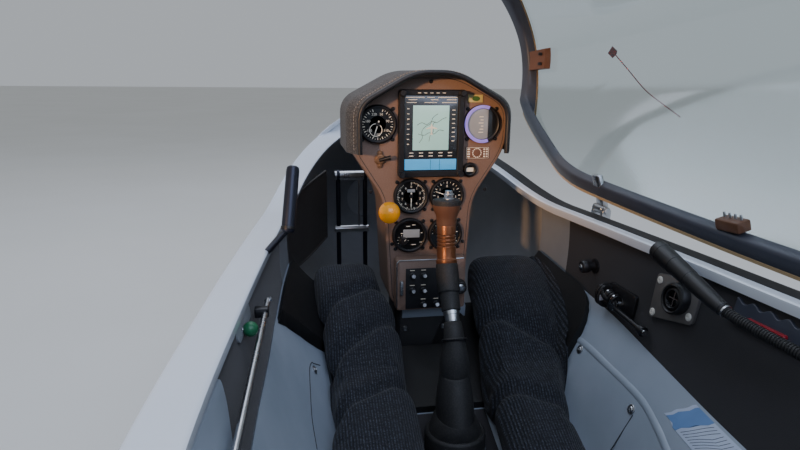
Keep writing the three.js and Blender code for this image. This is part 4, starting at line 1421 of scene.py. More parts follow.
        fixings = Piece("seat_pan_fixings", STAINLESS, SEALANT, LABEL, TUB_PAINT, BLUE_PRINT)
        for side, y, share in self.screws:
            at, out = self.spot(side, y, share)
            fixings.add(lathe([(7, -0.4), (7, 0.7), (6.4, 1.2), (0, 1.2)], at, out, 20), 0)
            fixings.add(screw(at + out, out, 4.2, 1.8))
        for seam in self.seams:
            fixings.add(tube([self.spot(side, y, share, 0.1)[0] for side, y, share in seam], 0.8, 6, 40), 1)
        fixings.add(tube([self.spot(1, y, share, -7.4)[0] for y, share in self.ridge], 9, 20, 120), 3)
        for first, last, thick, finish in ((0, 1, 0.7, 2), (0.05, 0.3, 0.9, 4)):
            faces = [
                [
                    [self.on_label(u, v, lift) for u in spread(0, 1, 9)] for v in spread(first, last, 9)
                ] for lift in (-0.2, thick)
            ]
            fixings.add(slab(*faces), finish)
        for k in range(12):
            fixings.add(tube([self.on_label(u, 0.36 + 0.05 * k, 0.7) for u in (0.06, 0.35, 0.7, 0.9)], 0.35, 5), 1)
        fixings.build("tub")

        mat = Piece("floor_mat", FELT)
        x0, x1, y0, y1 = self.mat
        stations = spread(y0, y1, 40)
        mat.add(
            slab(
                *(
                    [
                        [(x, y, self.read(2, y) + lift) for x in spread(x0, x1, 24)] for y in stations
                    ] for lift in (2.2, 0.2)
                )
            )
        )
        made = mat.build("black")
        hole = ellipse(0, self.mat_hole[0], self.mat_hole[1], self.mat_hole[1], 40)
        carve(made, prism(hole, -430, 0, "z"))

    def on_label(self, u: float, v: float, lift: float) -> Vector:
        """Returns a place on the label, by its shares across and down."""
        (a, b), (c, d) = [[Vector(p) for p in row] for row in self.label]
        y, share = a.lerp(b, u).lerp(c.lerp(d, u), v)
        return self.spot(1, y, share, lift)[0]

    def build_pad(self) -> None:
        """Makes the black thigh support that lies on the tub's front."""
        def reach(y: float, side: int) -> float:
            """Narrows the pad's rear corners."""
            start, width = (self.pad_rear, 0.8) if side > 0 else (self.pad_corner, 0.93)
            share = min(max(y - start, 0) / 60, 1)
            return width + (0.992 - width) * math.sqrt(1 - (1 - share) ** 2)

        piece = Piece("knee_pad", LEATHERETTE)
        piece.add(self.sheet_over(self.pad_corner + 1, self.ends[1] - 1, self.pad, 0.4, reach, 50))
        made = piece.build("black", "thigh_support", angle=50)
        x0, x1, n0, n1 = self.pod_notch
        rear = self.pad_rear + 1
        behind = [(-300, 1000), (300, 1000), (300, rear), (-170, rear), *self.pad_edge]
        carve(made, prism([(x0, n0), (x1, n0), (x1, n1), (x0, n1)], -430, 0, "z"), prism(behind, -430, 0, "z"))
        eased(made, 4)
        made.data.shade_smooth()

    def wall_sheet(self, side: int, y0: float, y1: float, steps: int, thick: float = 5) -> Shape:
        """Makes a length of side wall from below the sill to behind the tub's edge."""
        inner, outer = [], []
        for y in spread(y0, y1, steps):
            top, foot = self.wall_line(side, y)
            line = [top.lerp(foot, t) + Vector((2.5 * math.sin(math.pi * t), 0)) for t in spread(0, 1, 14)]
            inner.append([(side * p.x, y, p.y) for p in line])
            outer.append([(side * (p.x + thick), y, p.y) for p in line])
        return slab(inner, outer)

    def build_walls(self) -> None:
        """Makes the felt linings and the painted walls ahead of them."""
        for name, side in (("left", -1), ("right", 1)):
            felt = Piece(f"felt_{name}", FELT).add(self.wall_sheet(side, 120, self.felt_end, 60))
            felt.build("lining", f"lining_{name}", angle=50)
            wall = Piece(f"front_wall_{name}", WALL_PAINT, STAINLESS)
            wall.add(self.wall_sheet(side, self.felt_end + 0.4, self.wall_end, 10))
            wall.build("grey", f"side_wall_{name}", angle=50)

    def build(self) -> None:
        """Makes the cabin's pieces."""
        self.build_tub()
        self.build_pad()
        self.build_walls()


# Cushions

# Ribbed spacer knit over foam: near-black navy, with pale specks painted on each rib's crown as painted highlight, and
# painted shade in the hollows.
KNIT = Finish(
    "Polyester_spacer_knit_navy", "0E121B", "151A26", 0.85, relief=Relief.KNIT, pitch=4.0, height=1.1, patch=50,
    dust="8A93A6", dustiness=0.27, sheen=0.05
)


@dataclass
class Cushion:
    """A knit cushion that is blown up by cloth simulation and then quilted.

    Rows hold y, middle x, half width, top height and thickness.
    """

    name: str
    node: str
    rows: tuple
    seams: tuple = ()
    floor: Callable[[float, float], float] | None = None
    groove: float = 12
    groove_width: float = 10
    swell: float = 10
    fill: float = 0.7

    def start_shape(self) -> Shape:
        """Makes the slightly smaller closed form that the simulation swells."""
        rings = []
        first, last = self.rows[0][0], self.rows[-1][0]
        for s in spread(0, 1, 34):
            y = first + 6 + (last - first - 12) * s
            x, half, top, thick = (curve_through(self.rows, c, y) for c in (1, 2, 3, 4))
            end = min(s, 1 - s)
            tight = math.sqrt(max(1 - (1 - min(end / 0.07, 1)) ** 2, 0.12))
            half, deep = (half - 5) * (0.86 + 0.14 * tight), (thick - 8) / 2 * (0.5 + 0.5 * tight)
            ring = []
            for k in range(40):
                a = 2 * math.pi * k / 40
                c, s2 = math.cos(a), math.sin(a)
                u = math.copysign(abs(c) ** 0.42, c) * half
                v = math.copysign(abs(s2) ** 0.62, s2) * deep
                ring.append((x + u, y, top - 4 - (thick - 8) / 2 + v))
            rings.append(ring)
        return loft(rings)

    def build(self) -> None:
        """Makes the cushion."""
        made = Piece(self.name, KNIT).add(self.start_shape()).build("knit", self.node)
        puffed(made, self.swell, self.floor)
        self.quilt(made)

    def quilt(self, made: Object) -> None:
        """Presses the sewn channels into the cushion.

        Args:
            made: the cushion, whose seams each hold y and x at the left, then y and x at the right.
        """
        mesh = made.data
        places = np.empty(len(mesh.vertices) * 3)
        mesh.vertices.foreach_get("co", places)
        points = places.reshape(-1, 3) / MM
        middle = np.array(
            [
                [
                    curve_through(self.rows, 1, y), curve_through(self.rows, 3, y) - curve_through(self.rows, 4, y) / 2
                ] for y in points[:, 1]
            ]
        )
        for ya, xa, yb, xb in self.seams:
            along = np.array([xb - xa, yb - ya], float)
            along /= np.linalg.norm(along)
            off = (points[:, 0] - xa) * -along[1] + (points[:, 1] - ya) * along[0]
            press = self.groove * np.exp(-((off / self.groove_width) ** 2))
            inward = middle - points[:, [0, 2]]
            inward /= np.linalg.norm(inward, axis=1)[:, None] + 1e-6
            upper = np.clip((points[:, 2] - middle[:, 1]) / 8 + 0.6, 0, 1)
            points[:, 0] += inward[:, 0] * press * 0.7
            points[:, 2] += inward[:, 1] * press * upper
        mesh.vertices.foreach_set("co", (points * MM).ravel())
        mesh.update()


def puffed(made: Object, reach: float, floor: Callable[[float, float], float] | None = None) -> None:
    """Swells a closed form as padded cloth.

    Args:
        made: the object.
        reach: how far a point may move, in millimetres.
        floor: gives the lowest z that the cushion may have at x and y.
    """
    remesh = made.modifiers.new("Remesh", "REMESH")
    remesh.mode, remesh.voxel_size = "VOXEL", 5 * MM
    applied(made)
    finish = made.data.materials[0]
    start = np.empty(len(made.data.vertices) * 3)
    made.data.vertices.foreach_get("co", start)
    moved = start.copy()
    cloth = made.modifiers.new("Cloth", "CLOTH")
    cloth.settings.use_pressure = True
    cloth.settings.uniform_pressure_force = 4
    cloth.settings.effector_weights.gravity = 0
    scene = bpy.context.scene
    for frame in range(1, 21):
        scene.frame_set(frame)
    graph = bpy.context.evaluated_depsgraph_get()
    made.evaluated_get(graph).data.vertices.foreach_get("co", moved)
    made.modifiers.clear()
    scene.frame_set(1)
    step = (moved - start).reshape(-1, 3)
    length = np.linalg.norm(step, axis=1)[:, None]
    step *= np.minimum(1, reach * MM / np.maximum(length, 1e-9))
    points = start.reshape(-1, 3) + step
    if floor is not None:
        for i, (x, y, z) in enumerate(points):
            low = floor(x / MM, y / MM)
            if z / MM < low:
                points[i, 2] = low * MM
    made.data.vertices.foreach_set("co", points.ravel())
    made.data.update()
    smooth = made.modifiers.new("Subdivision", "SUBSURF")
    smooth.levels = smooth.render_levels = 1
    applied(made)
    if not made.data.materials:
        made.data.materials.append(finish)
    made.data.shade_smooth()


@dataclass
class Seat:
    """The seat back, the headrest and the cushions."""

    cabin: Cabin
    left: tuple = (
        (905, -122, 64, -318, 30),
        (960, -127, 73, -284, 72),
        (1120, -118, 70, -216, 92),
        (1180, -119, 71, -202, 94),
        (1260, -121, 68, -140, 108),
        (1325, -134, 61, -105, 111),
        (1410, -136, 60, -90, 90),
    )
    right: tuple = (
        (905, 106, 58, -318, 30),
        (960, 109, 62, -284, 72),
        (1120, 115, 67, -216, 92),
        (1180, 130, 80, -202, 94),
        (1260, 144, 80, -140, 108),
        (1340, 152, 75, -96, 112),
        (1410, 153, 66, -88, 90),
    )
    bottom: tuple = ((545, 0, 140, -318, 40), (590, 0, 160, -312, 60), (850, 0, 160, -310, 60), (896, 0, 146, -326, 40))
    back_foot: tuple = (487, -345)
    back_bend: tuple = (150, 66)
    back_top: tuple = (18, 148)
    back_widths: tuple = ((0, 132), (0.08, 160), (0.2, 182), (0.4, 190), (0.8, 190), (0.94, 184), (1, 168))
    back_pad: tuple = (42, 165)
    rest: tuple = ((12.6, 190), (60, 176), (72, 200), (72, 262), (58, 282), (12.6, 290))

    def rests(self, x: float, y: float) -> float:
        """Returns the tub's height with the thigh pad on it."""
        y = min(max(y, self.cabin.ends[0]), self.cabin.ends[1])
        lift = self.cabin.pad + 1.2 if y > self.cabin.pad_rear - 8 else 1.2
        line = self.cabin.half_line(y, lift, 30, -1 if x < 0 else 1)
        return float(np.interp(abs(x), *zip(*line)))

    def build_back(self) -> None:
        """Makes the seat back."""
        knots = [Vector(p) for p in (self.back_foot, self.back_bend, self.back_top)]
        line = evenly(rounded_line(knots, 60, 8), 40)
        front, rear = [], []
        for i, p in enumerate(line):
            along = (line[min(i + 1, 39)] - line[max(i - 1, 0)]).normalized()
            out = Vector((along.y, -along.x))
            half = float(np.interp(i / 39, *zip(*self.back_widths)))
            for rows, depth in ((front, 0.0), (rear, -10.0)):
                rows.append([(u * half, *(p + out * depth)) for u in spread(-1, 1, 21)])
        shell = Piece("seat_backrest", TUB_PAINT).add(slab(front, rear))
        made = shell.build("tub", "seat_back", angle=50)
        eased(made, 3)

    def build_back_pad(self) -> None:
        """Makes the back cushion, with three sewn channels."""
        thick, half = self.back_pad
        low, high = Vector((458, -310)), Vector(self.back_bend)
        along = (high - low).normalized()
        out = Vector((along.y, -along.x))
        rings = []
        for s in spread(0, 1, 34):
            end = min(s, 1 - s)
            tight = math.sqrt(max(1 - (1 - min(end / 0.06, 1)) ** 2, 0.12))
            centre = low.lerp(high, 0.02 + 0.96 * s) + out * (thick / 2 + 0.5)
            ring = []
            for k in range(44):
                c, d = math.cos(2 * math.pi * k / 44), math.sin(2 * math.pi * k / 44)
                u = math.copysign(abs(c) ** 0.4, c) * (half - 6) * (0.9 + 0.1 * tight)
                v = math.copysign(abs(d) ** 0.6, d) * (thick / 2 - 5) * (0.5 + 0.5 * tight)
                p = centre + out * v
                ring.append((u, p.x, p.y))
            rings.append(ring)
        made = Piece("back_pad", KNIT).add(loft(rings)).build("knit", "back_cushion")
        puffed(made, 6)
        mesh = made.data
        for vertex in mesh.vertices:
            place = Vector((vertex.co.y, vertex.co.z)) / MM - low
            height, depth = place.dot(along) / (high - low).length, place.dot(out)
            press = sum(7 * math.exp(-(((height - c) * 520 / 10) ** 2)) for c in (0.26, 0.5, 0.74))
            if depth > thick * 0.4:
                vertex.co.y -= out.x * press * MM
                vertex.co.z -= out.y * press * MM
            if depth < 1.2:
                vertex.co.y += out.x * (1.2 - depth) * MM
                vertex.co.z += out.y * (1.2 - depth) * MM

    def build_headrest(self) -> None:
        """Makes the headrest."""
        outline = rounded_outline(list(reversed(self.rest)), 16, 6)
        made = Piece("head_pad", LEATHERETTE).add(
            prism(outline, -94, 94, "x", 10, 4)
        ).build("black", "headrest", angle=60)
        smooth = made.modifiers.new("Subdivision", "SUBSURF")
        smooth.levels = smooth.render_levels = 1

    def build(self) -> None:
        """Makes the seat's pieces."""
        left_seams = ((1278, -184, 1328, -62), (1192, -190, 1265, -46), (1106, -184, 1163, -46), (985, -200, 1020, -50))
        right_seams = ((1262, 60, 1183, 208), (1133, 45, 1075, 176), (985, 47, 955, 170))
        Cushion("leg_cushion_left", "thigh_cushion_left", self.left, left_seams, self.rests).build()
        Cushion("leg_cushion_right", "thigh_cushion_right", self.right, right_seams, self.rests).build()
        across_seams = ((640, -200, 640, 200), (722, -200, 722, 200), (804, -200, 804, 200))
        Cushion("seat_pad", "seat_cushion", self.bottom, across_seams, self.rests, swell=8).build()
        self.build_back()
        self.build_back_pad()
        self.build_headrest()


# Control stick


class Route:
    """A smooth line that can be read by distance."""

    def __init__(self, points: Sequence[Row]) -> None:
        """Runs the line through the points."""
        self.line = smooth_path(points, 240)
        steps = [(b - a).length for a, b in zip(self.line, self.line[1:])]
        self.places = np.concatenate([[0], np.cumsum(steps)])
        self.length = float(self.places[-1])

    def at(self, distance: float) -> Vector:
        """Returns the point at a distance from the start, on a straight line beyond the ends."""
        if distance < 0:
            return self.line[0] + (self.line[0] - self.line[1]).normalized() * -distance
        if distance > self.length:
            return self.line[-1] + (self.line[-1] - self.line[-2]).normalized() * (distance - self.length)
        return Vector([float(np.interp(distance, self.places, c)) for c in np.array(self.line).T])

    def turned(self, rows: Sequence[Row], sides: int = 32) -> Shape:
        """Skins rows of distance and radius round the line."""
        return tube([self.at(d) for d, _ in rows], [r for _, r in rows], sides)

    def direction(self, distance: float) -> Vector:
        """Returns the line's direction at a distance."""
        return (self.at(distance + 0.5) - self.at(distance - 0.5)).normalized()


# Bronze-coloured anodising on a turned aluminium grip: satin, with fine turning marks.
BRONZE = Finish(
    "Aluminium_turned_anodised_bronze", "8A5B3E", "724A32", 0.34, metallic=0.65, relief=Relief.GRAIN, pitch=1.0,
    height=0.03, patch=18
)
# Rubber sleeves and boots: black, dull, a little dusty.
RUBBER = Finish(
    "Rubber_moulded_black", "1A1A1B", "232323", 0.62, relief=Relief.GRAIN, pitch=0.8, height=0.06, patch=22,
    dust="5A5753", dustiness=0.15
)


@dataclass
class Stick:
    """The control stick with its grip, boot and bearings. Pairs hold y and z."""

    pivot: tuple = (1120, -340)
    axis: tuple = ((1120, -340), (1127, -270), (1132, -205), (1138, -152), (1158, -118))
    grip: tuple = ((1158.5, -117), (1184, -76), (1199, -40), (1204, 0), (1206, 34))
    well_y: float = 1121

    def build_grip(self) -> None:
        """Makes the grip: collar, two rubber sleeves, grooved bronze handle and capped top."""
        route = Route([(0, y, z) for y, z in self.grip])
        grip = Piece("hand_grip", BRONZE, RUBBER, STAINLESS, CATCH_PLASTIC)
        grip.add(route.turned([(-7, 8), (-6.5, 10.6), (2, 11), (2.2, 12), (9, 12), (9.5, 11)]), 2)
        grip.add(route.turned([(7, 11), (8, 13.2), (9, 13.9), (36, 14.2), (37, 13)]), 1)
        grip.add(route.turned([(34, 12), (34.5, 15.2), (37, 16.6), (58, 17), (76, 16.4), (79, 15.4), (80, 13)]), 1)
        rows = [(78, 12), (78.4, 15.4), (80, 15.9), (84, 15.9), (86, 14.6), (92, 14.1)]
        for middle in (106, 111.5, 117, 122.5):
            rows += [
                (middle - 1.6, 14.1), (middle - 1.0, 13.2), (middle, 12.8), (middle + 1.0, 13.2), (middle + 1.6, 14.1)
            ]
        grip.add(route.turned([*rows, (136, 13.9), (138, 13.4), (138.4, 12)], 40))
        grip.add(
            route.turned(
                [(137, 12), (137.4, 14.6), (141, 14.9), (147, 15.1), (152, 16.5), (158, 18.9), (164, 20.4), (168, 20.9)]
            ),
            3
        )
        grip.add(route.turned([(167, 20), (167.2, 20.9), (172, 20.9), (174, 20.3), (175, 19), (175.2, 8)], 40), 1)
        top = route.at(175) + Vector((3, 1, 0))
        up = route.direction(175)
        for first, radius, height, sides in (
            (0, 8.2, 1.6, 28), (1.6, 6.9, 5.2, 6), (6.8, 7.8, 1.4, 28), (8.2, 5.6, 4.4, 24)
        ):
            profile = [
                (0, first), (radius, first), (radius, first + height - 0.6), (radius - 0.6, first + height),
                (0, first + height)
            ]
            grip.add(lathe(profile, top, up, sides), 2)
        grip.build("bronze", "stick_grip", body=Body.STICK, angle=30)

    def build_boot(self) -> None:
        """Makes the rubber cuff and the boot below it."""
        neck = Route([(0, 1134, -199), (0, 1136, -172), (0, 1139.5, -150), (0, 1145, -139), (0, 1154.2, -123.5)])
        end = neck.length
        cuff = Piece("boot_cuff", RUBBER, BLACK_PLASTIC)
        cuff.add(
            neck.turned(
                [
                    (0, 12), (0.4, 21.2), (8, 22), (20, 21.6), (32, 19.8), (42, 17.2), (52, 15.4), (end - 14, 14.6),
                    (end - 3, 13.2), (end - 1, 12.6), (end, 11)
                ],
                40
            )
        )
        hoop = [(54 + 1.5 * math.sin(a), 16.6 + 2.2 * math.cos(a)) for a in spread(0, 2 * math.pi, 13)]
        cuff.add(neck.turned(hoop, 44), 1)
        cuff.build("rubber", "gaiter_cuff", body=Body.STICK, angle=60)

        foot, waist, head = Vector((0, self.well_y, -277)), Vector((0, 1125.5, -256)), Vector((0, 1134.4, -195))
        turns = spread(0, 2 * math.pi, 45)[:-1]
        for name, low, high, wide, deep, bodies in (
            ("boot_lower", foot, waist, (38.5, 27.5), (38.5, 40.5), (Body.COCKPIT, Body.ROLL)),
            ("boot_upper", waist, head, (27.5, 21.6), (40.5, 21.6), (Body.ROLL, Body.STICK)),
        ):
            rings = []
            for thick, shares in ((0, spread(0, 1, 25)), (1.8, spread(1, 0, 25))):
                for s in shares:
                    at, bulge = low.lerp(high, s), 1.2 * math.sin(math.pi * s) - thick
                    half, reach = (r[0] + (r[1] - r[0]) * s + bulge for r in (wide, deep))
                    rings.append([(half * math.cos(a), at.y + reach * math.sin(a), at.z) for a in turns])
            made = Piece(name, RUBBER).add(loft(rings, round_trip=True)).free(angle=70)
            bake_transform(made)

        ring = [(37.4, -320), (44.4, -320), (44.4, -281), (43.4, -278.4), (41, -276.4), (38.6, -277), (37.4, -279)]
        base = Piece("boot_ring", RUBBER).add(lathe(ring, (0, self.well_y, 0), sides=56, closed=True))
        base.build("rubber", "gaiter_base", angle=40)

    def build_frame(self) -> None:
        """Makes the stick's tube, the roll tube with its fork and the bearings."""
        y, z = self.pivot
        rod = Piece("stick_column", STAINLESS)
        rod.add(tube([(0, a, b) for a, b in self.axis], 9.8, 28, 30))
        rod.add(lathe([(4, -11.4), (11, -11.4), (11, 11.4), (4, 11.4)], (0, y, z), (1, 0, 0), 32, closed=True))
        rod.build("steel", "stick_tube", body=Body.STICK)

        fork = Piece("roll_shaft", CHASSIS, STAINLESS)
        for start, end in ((1072, y - 20), (y + 20, 1196)):
            profile = [(8.5, start), (11.2, start), (12, start + 0.8), (12, end - 0.8), (11.2, end), (8.5, end)]
            fork.add(lathe(profile, (0, 0, z), (0, 1, 0), 32, closed=True))
        for side in (-1, 1):
            x0, x1 = sorted((side * 12.2, side * 17.8))
            fork.add(block(x0, x1, y - 25.6, y + 25.6, z - 13.6, z + 13.6, 1.2))
            fork.add(spun([(6.6, 17.8), (6.6, 20.6), (6, 21.2)], (0, y, z), (side, 0, 0), 6), 1)
        for step in (-22, 22):
            fork.add(block(-17.6, 17.6, y + step - 3.6, y + step + 3.6, z - 13.6, z + 13.6, 1.0))
        fork.build("steel", "roll_tube", body=Body.ROLL)

        stand = Piece("stick_stand", CHASSIS, STAINLESS)
        for place in (1081, 1187):
            outline = rounded_outline(
                [(19.6, z + 4), (10, z + 13.8), (-10, z + 13.8), (-19.6, z + 4), (-19.6, -432), (19.6, -432)], 8
            )
            stand.add(prism(outline, place - 5.8, place + 5.8, "y", 0.8))
            stand.add(
                lathe([(12.4, -7.4), (15, -7.4), (15, 7.4), (12.4, 7.4)], (0, place, z), (0, 1, 0), 32, closed=True), 1
            )
        stand.add(block(-19.6, 19.6, 1075.4, 1192.6, -432, -424.4, 2))
        for step in (-12, 12):
            for place in (1100, 1168):
                stand.add(screw((step, place, -424.6), (0, 0, 1), 5, 3), 1)
        stand.build("steel", "stick_bearings")

    def build(self) -> None:
        """Makes the stick's pieces."""
        self.build_grip()
        self.build_boot()
        self.build_frame()


# Powder coat on welded steel: mid grey, with a fine orange peel.
CHASSIS = Finish(
    "Steel_welded_powder_coated_grey", "6E7276", "62666A", 0.5, relief=Relief.PEEL, pitch=1.6, height=0.06, patch=30
)


# Instrument pod

# Two-part paint on the pod: taupe, satin.
PANEL_PAINT = Finish(
    "Polyurethane_paint_sprayed_taupe", "826A5D", "776054", 0.48, relief=Relief.PEEL, pitch=1.8, height=0.05, patch=70,
    dust="A29283", dustiness=0.12
)
# Leatherette glued on the hood: dark grey, dusty.
HOOD_SKIN = Finish(
    "Leatherette_glued_dark_grey", "3B3735", "45403D", 0.62, relief=Relief.LEATHER, pitch=1.8, height=0.1, patch=60,
    dust="8F8A84", dustiness=0.35
)
# Waxed thread: pale grey.
THREAD = Finish("Polyester_thread_waxed_grey", "8D8880", "7A756E", 0.7, patch=5)
# Instrument face behind glass: black, wet-looking.
DIAL_FACE = Finish("Instrument_face_black_under_glass", "08090A", "0B0C0D", 0.3, patch=30, coat=1.0)
# Screen-printed marks: warm white, with a faint glow that is painted light on the dials, plates and labels, and the
# screen's own light on the displays.
MARKS = Finish("Screen_print_warm_white", "E9E2D2", "DDD5C4", 0.55, patch=10, glow=0.15)
# Liquid crystal display, lit: grey green.
LCD = Finish("Liquid_crystal_grey", "8B8F92", "7F8386", 0.22, patch=20, coat=0.6, glow=0.25)
# Lit map field of the display: pale teal.
MAP_FIELD = Finish("Display_lit_pale_teal", "8FB9B3", "86AEA9", 0.2, patch=25, coat=0.6, glow=0.75)
# Lit bar at the display's foot: blue.
MAP_BAR = Finish("Display_lit_blue", "3F93C8", "2F7DB5", 0.2, patch=30, coat=0.6, glow=0.8)
# Unlit display: charcoal, with a faint painted glow.
SCREEN = Finish("Display_unlit_charcoal", "1F2328", "262A2F", 0.18, patch=40, coat=0.8, glow=0.3)
# Lit ring of the vario: lavender.
VARIO_RING = Finish("Polycarbonate_ring_lit_lavender", "8C7BD9", "7D6CCB", 0.3, patch=20, coat=0.4, glow=0.55)
# Printed aluminium plate: dull yellow.
YELLOW_PLATE = Finish("Aluminium_plate_printed_yellow", "C9BE7C", "BDB171", 0.4, patch=12)
# Screen-printed oval: flat green.
GREEN_PRINT = Finish("Screen_print_green", "3F6A2E", "37602A", 0.5, patch=8)
# Ball knob: phenolic resin, orange yellow, glossy, with a faint painted glow as if lit.
YELLOW_KNOB = Finish("Phenolic_resin_polished_orange_yellow", "F5A20C", "EE960A", 0.22, patch=14, coat=0.5, glow=0.12)


def lettering(text: str, x: float, y: float, z: float, size: float) -> Shape:
    """Makes flat raised digits that face the pilot, centred at a place."""
    data = bpy.data.curves.new("digits", "FONT")
    data.body, data.size, data.extrude, data.align_x, data.align_y = text, size, 0.12, "CENTER", "CENTER"
    made = bpy.data.objects.new("digits", data)
    bpy.context.scene.collection.objects.link(made)
    bpy.context.view_layer.update()
    mesh = bpy.data.meshes.new_from_object(made.evaluated_get(bpy.context.evaluated_depsgraph_get()))
    points = np.array([(x + v.co.x, y - v.co.z, z + v.co.y) for v in mesh.vertices], float)
    faces = [tuple(p.vertices) for p in mesh.polygons]
    bpy.data.objects.remove(made)
    bpy.data.meshes.remove(mesh)
    return Shape(points, faces)


def stroke(
    x: float, z: float, angle: float, near: float, far: float, width: float, y: float, tip: float = 1.0
) -> Shape:
    """Makes a flat mark on a dial.

    Args:
        x: the dial's middle.
        z: the dial's middle.
        angle: clockwise from the top, in degrees.
        near: where the mark starts, from the middle.
        far: where it ends.
        width: its width.
        y: the face that it lies on.
        tip: its far width as a share of its width.

    Returns:
        The mark.
    """
    a = math.radians(angle)
    along, side = Vector((math.sin(a), math.cos(a))), Vector((math.cos(a), -math.sin(a)))
    middle = Vector((x, z))
    half = width / 2
    corners = [
        middle + along * far - side * half * tip, middle + along * near - side * half,
        middle + along * near + side * half, middle + along * far + side * half * tip
    ]
    return prism(corners, y - 0.25, y + 0.1, "y")


@dataclass(frozen=True)
class Scale:
    """The marks on one dial."""

    first: float
    last: float
    ticks: int
    numbers: tuple = ()
    number_ring: float = 15.0
    needle: float | None = None
    long_every: int = 2


@dataclass
class Pod:
    """The instrument pod: shell, hood, dials, display and switches."""

    face: float = 1327
    depth: float = 112
    outline: tuple = ((42.7, 224.7), (129.7, 178.7), (129.7, 108), (75, 23), (70, -70), (64, -163))
    hood: tuple = (
        (1290, 33, 231, 121, 180, 103),
        (1322, 46, 231, 136, 182, 103),
        (1445, 46, 231, 136, 182, 103),
        (1560, 40, 178, 112, 138, 84),
        (1622, 30, 132, 88, 104, 72),
    )
    sheet: float = 6
    front: float = 1326.7

    def whole_outline(self, inset: float = 0) -> list:
        """Returns the face's rounded outline, drawn in by an inset."""
        right = list(self.outline)
        corners = right[::-1] + [(-x, z) for x, z in right]
        outline = rounded_outline(corners, 26, 7)
        return [tuple(p) for p in inset_outline(outline, inset)] if inset else outline

    def build_shell(self) -> None:
        """Makes the pod's shell with its face line and its column."""
        shell = Piece("pod_shell", PANEL_PAINT, SEALANT, BLACK_PLASTIC)
        shell.add(prism(self.whole_outline(), self.face, self.face + self.depth, "y", 3, 4))
        seam = [(x, self.face + 0.25, z) for x, z in self.whole_outline(5.5)]
        rings = []
        for i, p in enumerate(seam):
            side, up = across((Vector(seam[(i + 1) % len(seam)]) - Vector(seam[i - 1])).normalized())
            turns = [math.pi / 2 * k for k in range(4)]
            rings.append([Vector(p) + 0.75 * (math.cos(a) * side + math.sin(a) * up) for a in turns])
        shell.add(loft(rings, round_trip=True), 1)
        for x, z in ((-97, 38), (97, 38), (-61, -52), (61, -52), (0, 214)):
            shell.add(screw((x, self.face, z), (0, -1, 0), 3.2, 1.6), 2)
        shell.build("panel", "pod_body")

        column = Piece("pod_pillar", LEATHERETTE, STAINLESS, TUB_PAINT)
        column.add(block(-51.6, 51.6, self.face + 14.4, self.face + 97.6, -403, -163.4, 8))
        for x in (-34, 34):
            column.add(screw((x, self.face + 14.4, -212), (0, -1, 0), 5, 2.6), 1)
        column.add(block(-40, 53, self.face + 12.6, self.face + 16, -192, -172, 1.2), 2)
        cheek = rounded_outline([(52, -183), (52, -165), (70, -165), (75, -174), (74, -196), (66, -189)], 4)
        column.add(prism(cheek[::-1], self.face + 12.6, self.face + 16, "y", 1), 2)
        column.build("grey", "pod_column")

    def hood_line(self, y: float, inset: float) -> list[Vector]:
        """Returns the hood's section at a station, from the right skirt over the top to the left."""
        half, top, side, shoulder, skirt = (
            float(np.interp(y, [r[0] for r in self.hood], [r[c] for r in self.hood])) for c in range(1, 6)
        )
        right = [
            Vector((side - inset, skirt)), Vector((side - inset, shoulder - 0.5 * inset)),
            Vector((half - 0.5 * inset, top - inset))
        ]
        whole = right + [Vector((-p.x, p.y)) for p in reversed(right)]
        return evenly(rounded_line(whole, 24, 8), 81)

    def build_hood(self) -> None:
        """Makes the hood with its piped rim and its seam."""
        stations = [*spread(1291, 1445, 10), *spread(1465, 1622, 9)]
        outer = [[(p.x, y, p.y) for p in self.hood_line(y, 0)] for y in stations]
        inner = [[(p.x, y, p.y) for p in self.hood_line(y, self.sheet)] for y in stations]
        hood = Piece("glare_shield", HOOD_SKIN, BLACK_PLASTIC, THREAD)
        hood.add(slab(outer, inner))
        end = [(p.x, p.y) for p in self.hood_line(1621, 3)]
        hood.add(prism(end, 1615, 1621.6, "y", 1.0))
        rim = [(p.x, 1290.6, p.y) for p in self.hood_line(1291, 3)]
        hood.add(tube(rim, 4.0, 14, 161), 1)
        route = Route([(p.x, 1301, p.y) for p in self.hood_line(1301, -0.5)])
        for distance in np.arange(6, route.length - 6, 5.0):
            hood.add(
                tube([route.at(distance), route.at(distance + 1.6), route.at(distance + 3.2)], [0.45, 0.75, 0.45], 6), 2
            )
        hood.build("hood", "pod_hood", angle=50)

    def dial(self, name: str, node: str, x: float, z: float, radius: float, scale: Scale | None) -> Piece:
        """Starts a round instrument.

        Args:
            name: the piece's name.
            node: the node that it stands for.
            x: its middle.
            z: its middle.
            radius: its bezel's radius.
            scale: its marks, or None.

        Returns:
            The piece, whose finishes are bezel, face, marks, display, ring and steel.
        """
        piece = Piece(name, BLACK_PLASTIC, DIAL_FACE, MARKS, LCD, VARIO_RING, STAINLESS)
        inner = radius - 5
        ring = [
            (inner, 0), (radius, 0), (radius, 4.6), (radius - 0.8, 6.4), (radius - 2.4, 7.6), (inner + 1.2, 7.6),
            (inner, 6.8)
        ]
        at = (x, self.front, z)
        piece.add(lathe(ring, at, (0, -1, 0), 56, closed=True))
        piece.add(spun([(inner, 0), (inner, 3)], at, (0, -1, 0), 56), 1)
        if radius > 20:
            for sx in (-1, 1):
                for sz in (-1, 1):
                    away = (radius + 3.4) * 0.7071
                    piece.add(
                        spun(
                            [(3.1, 0), (3.1, 1.5), (2.2, 2.2), (1.2, 2.2), (0.9, 1.2)],
                            (x + sx * away, self.front, z + sz * away), (0, -1, 0), 14
                        )
                    )
        if scale:
            self.mark(piece, x, z, inner, scale)
        return piece

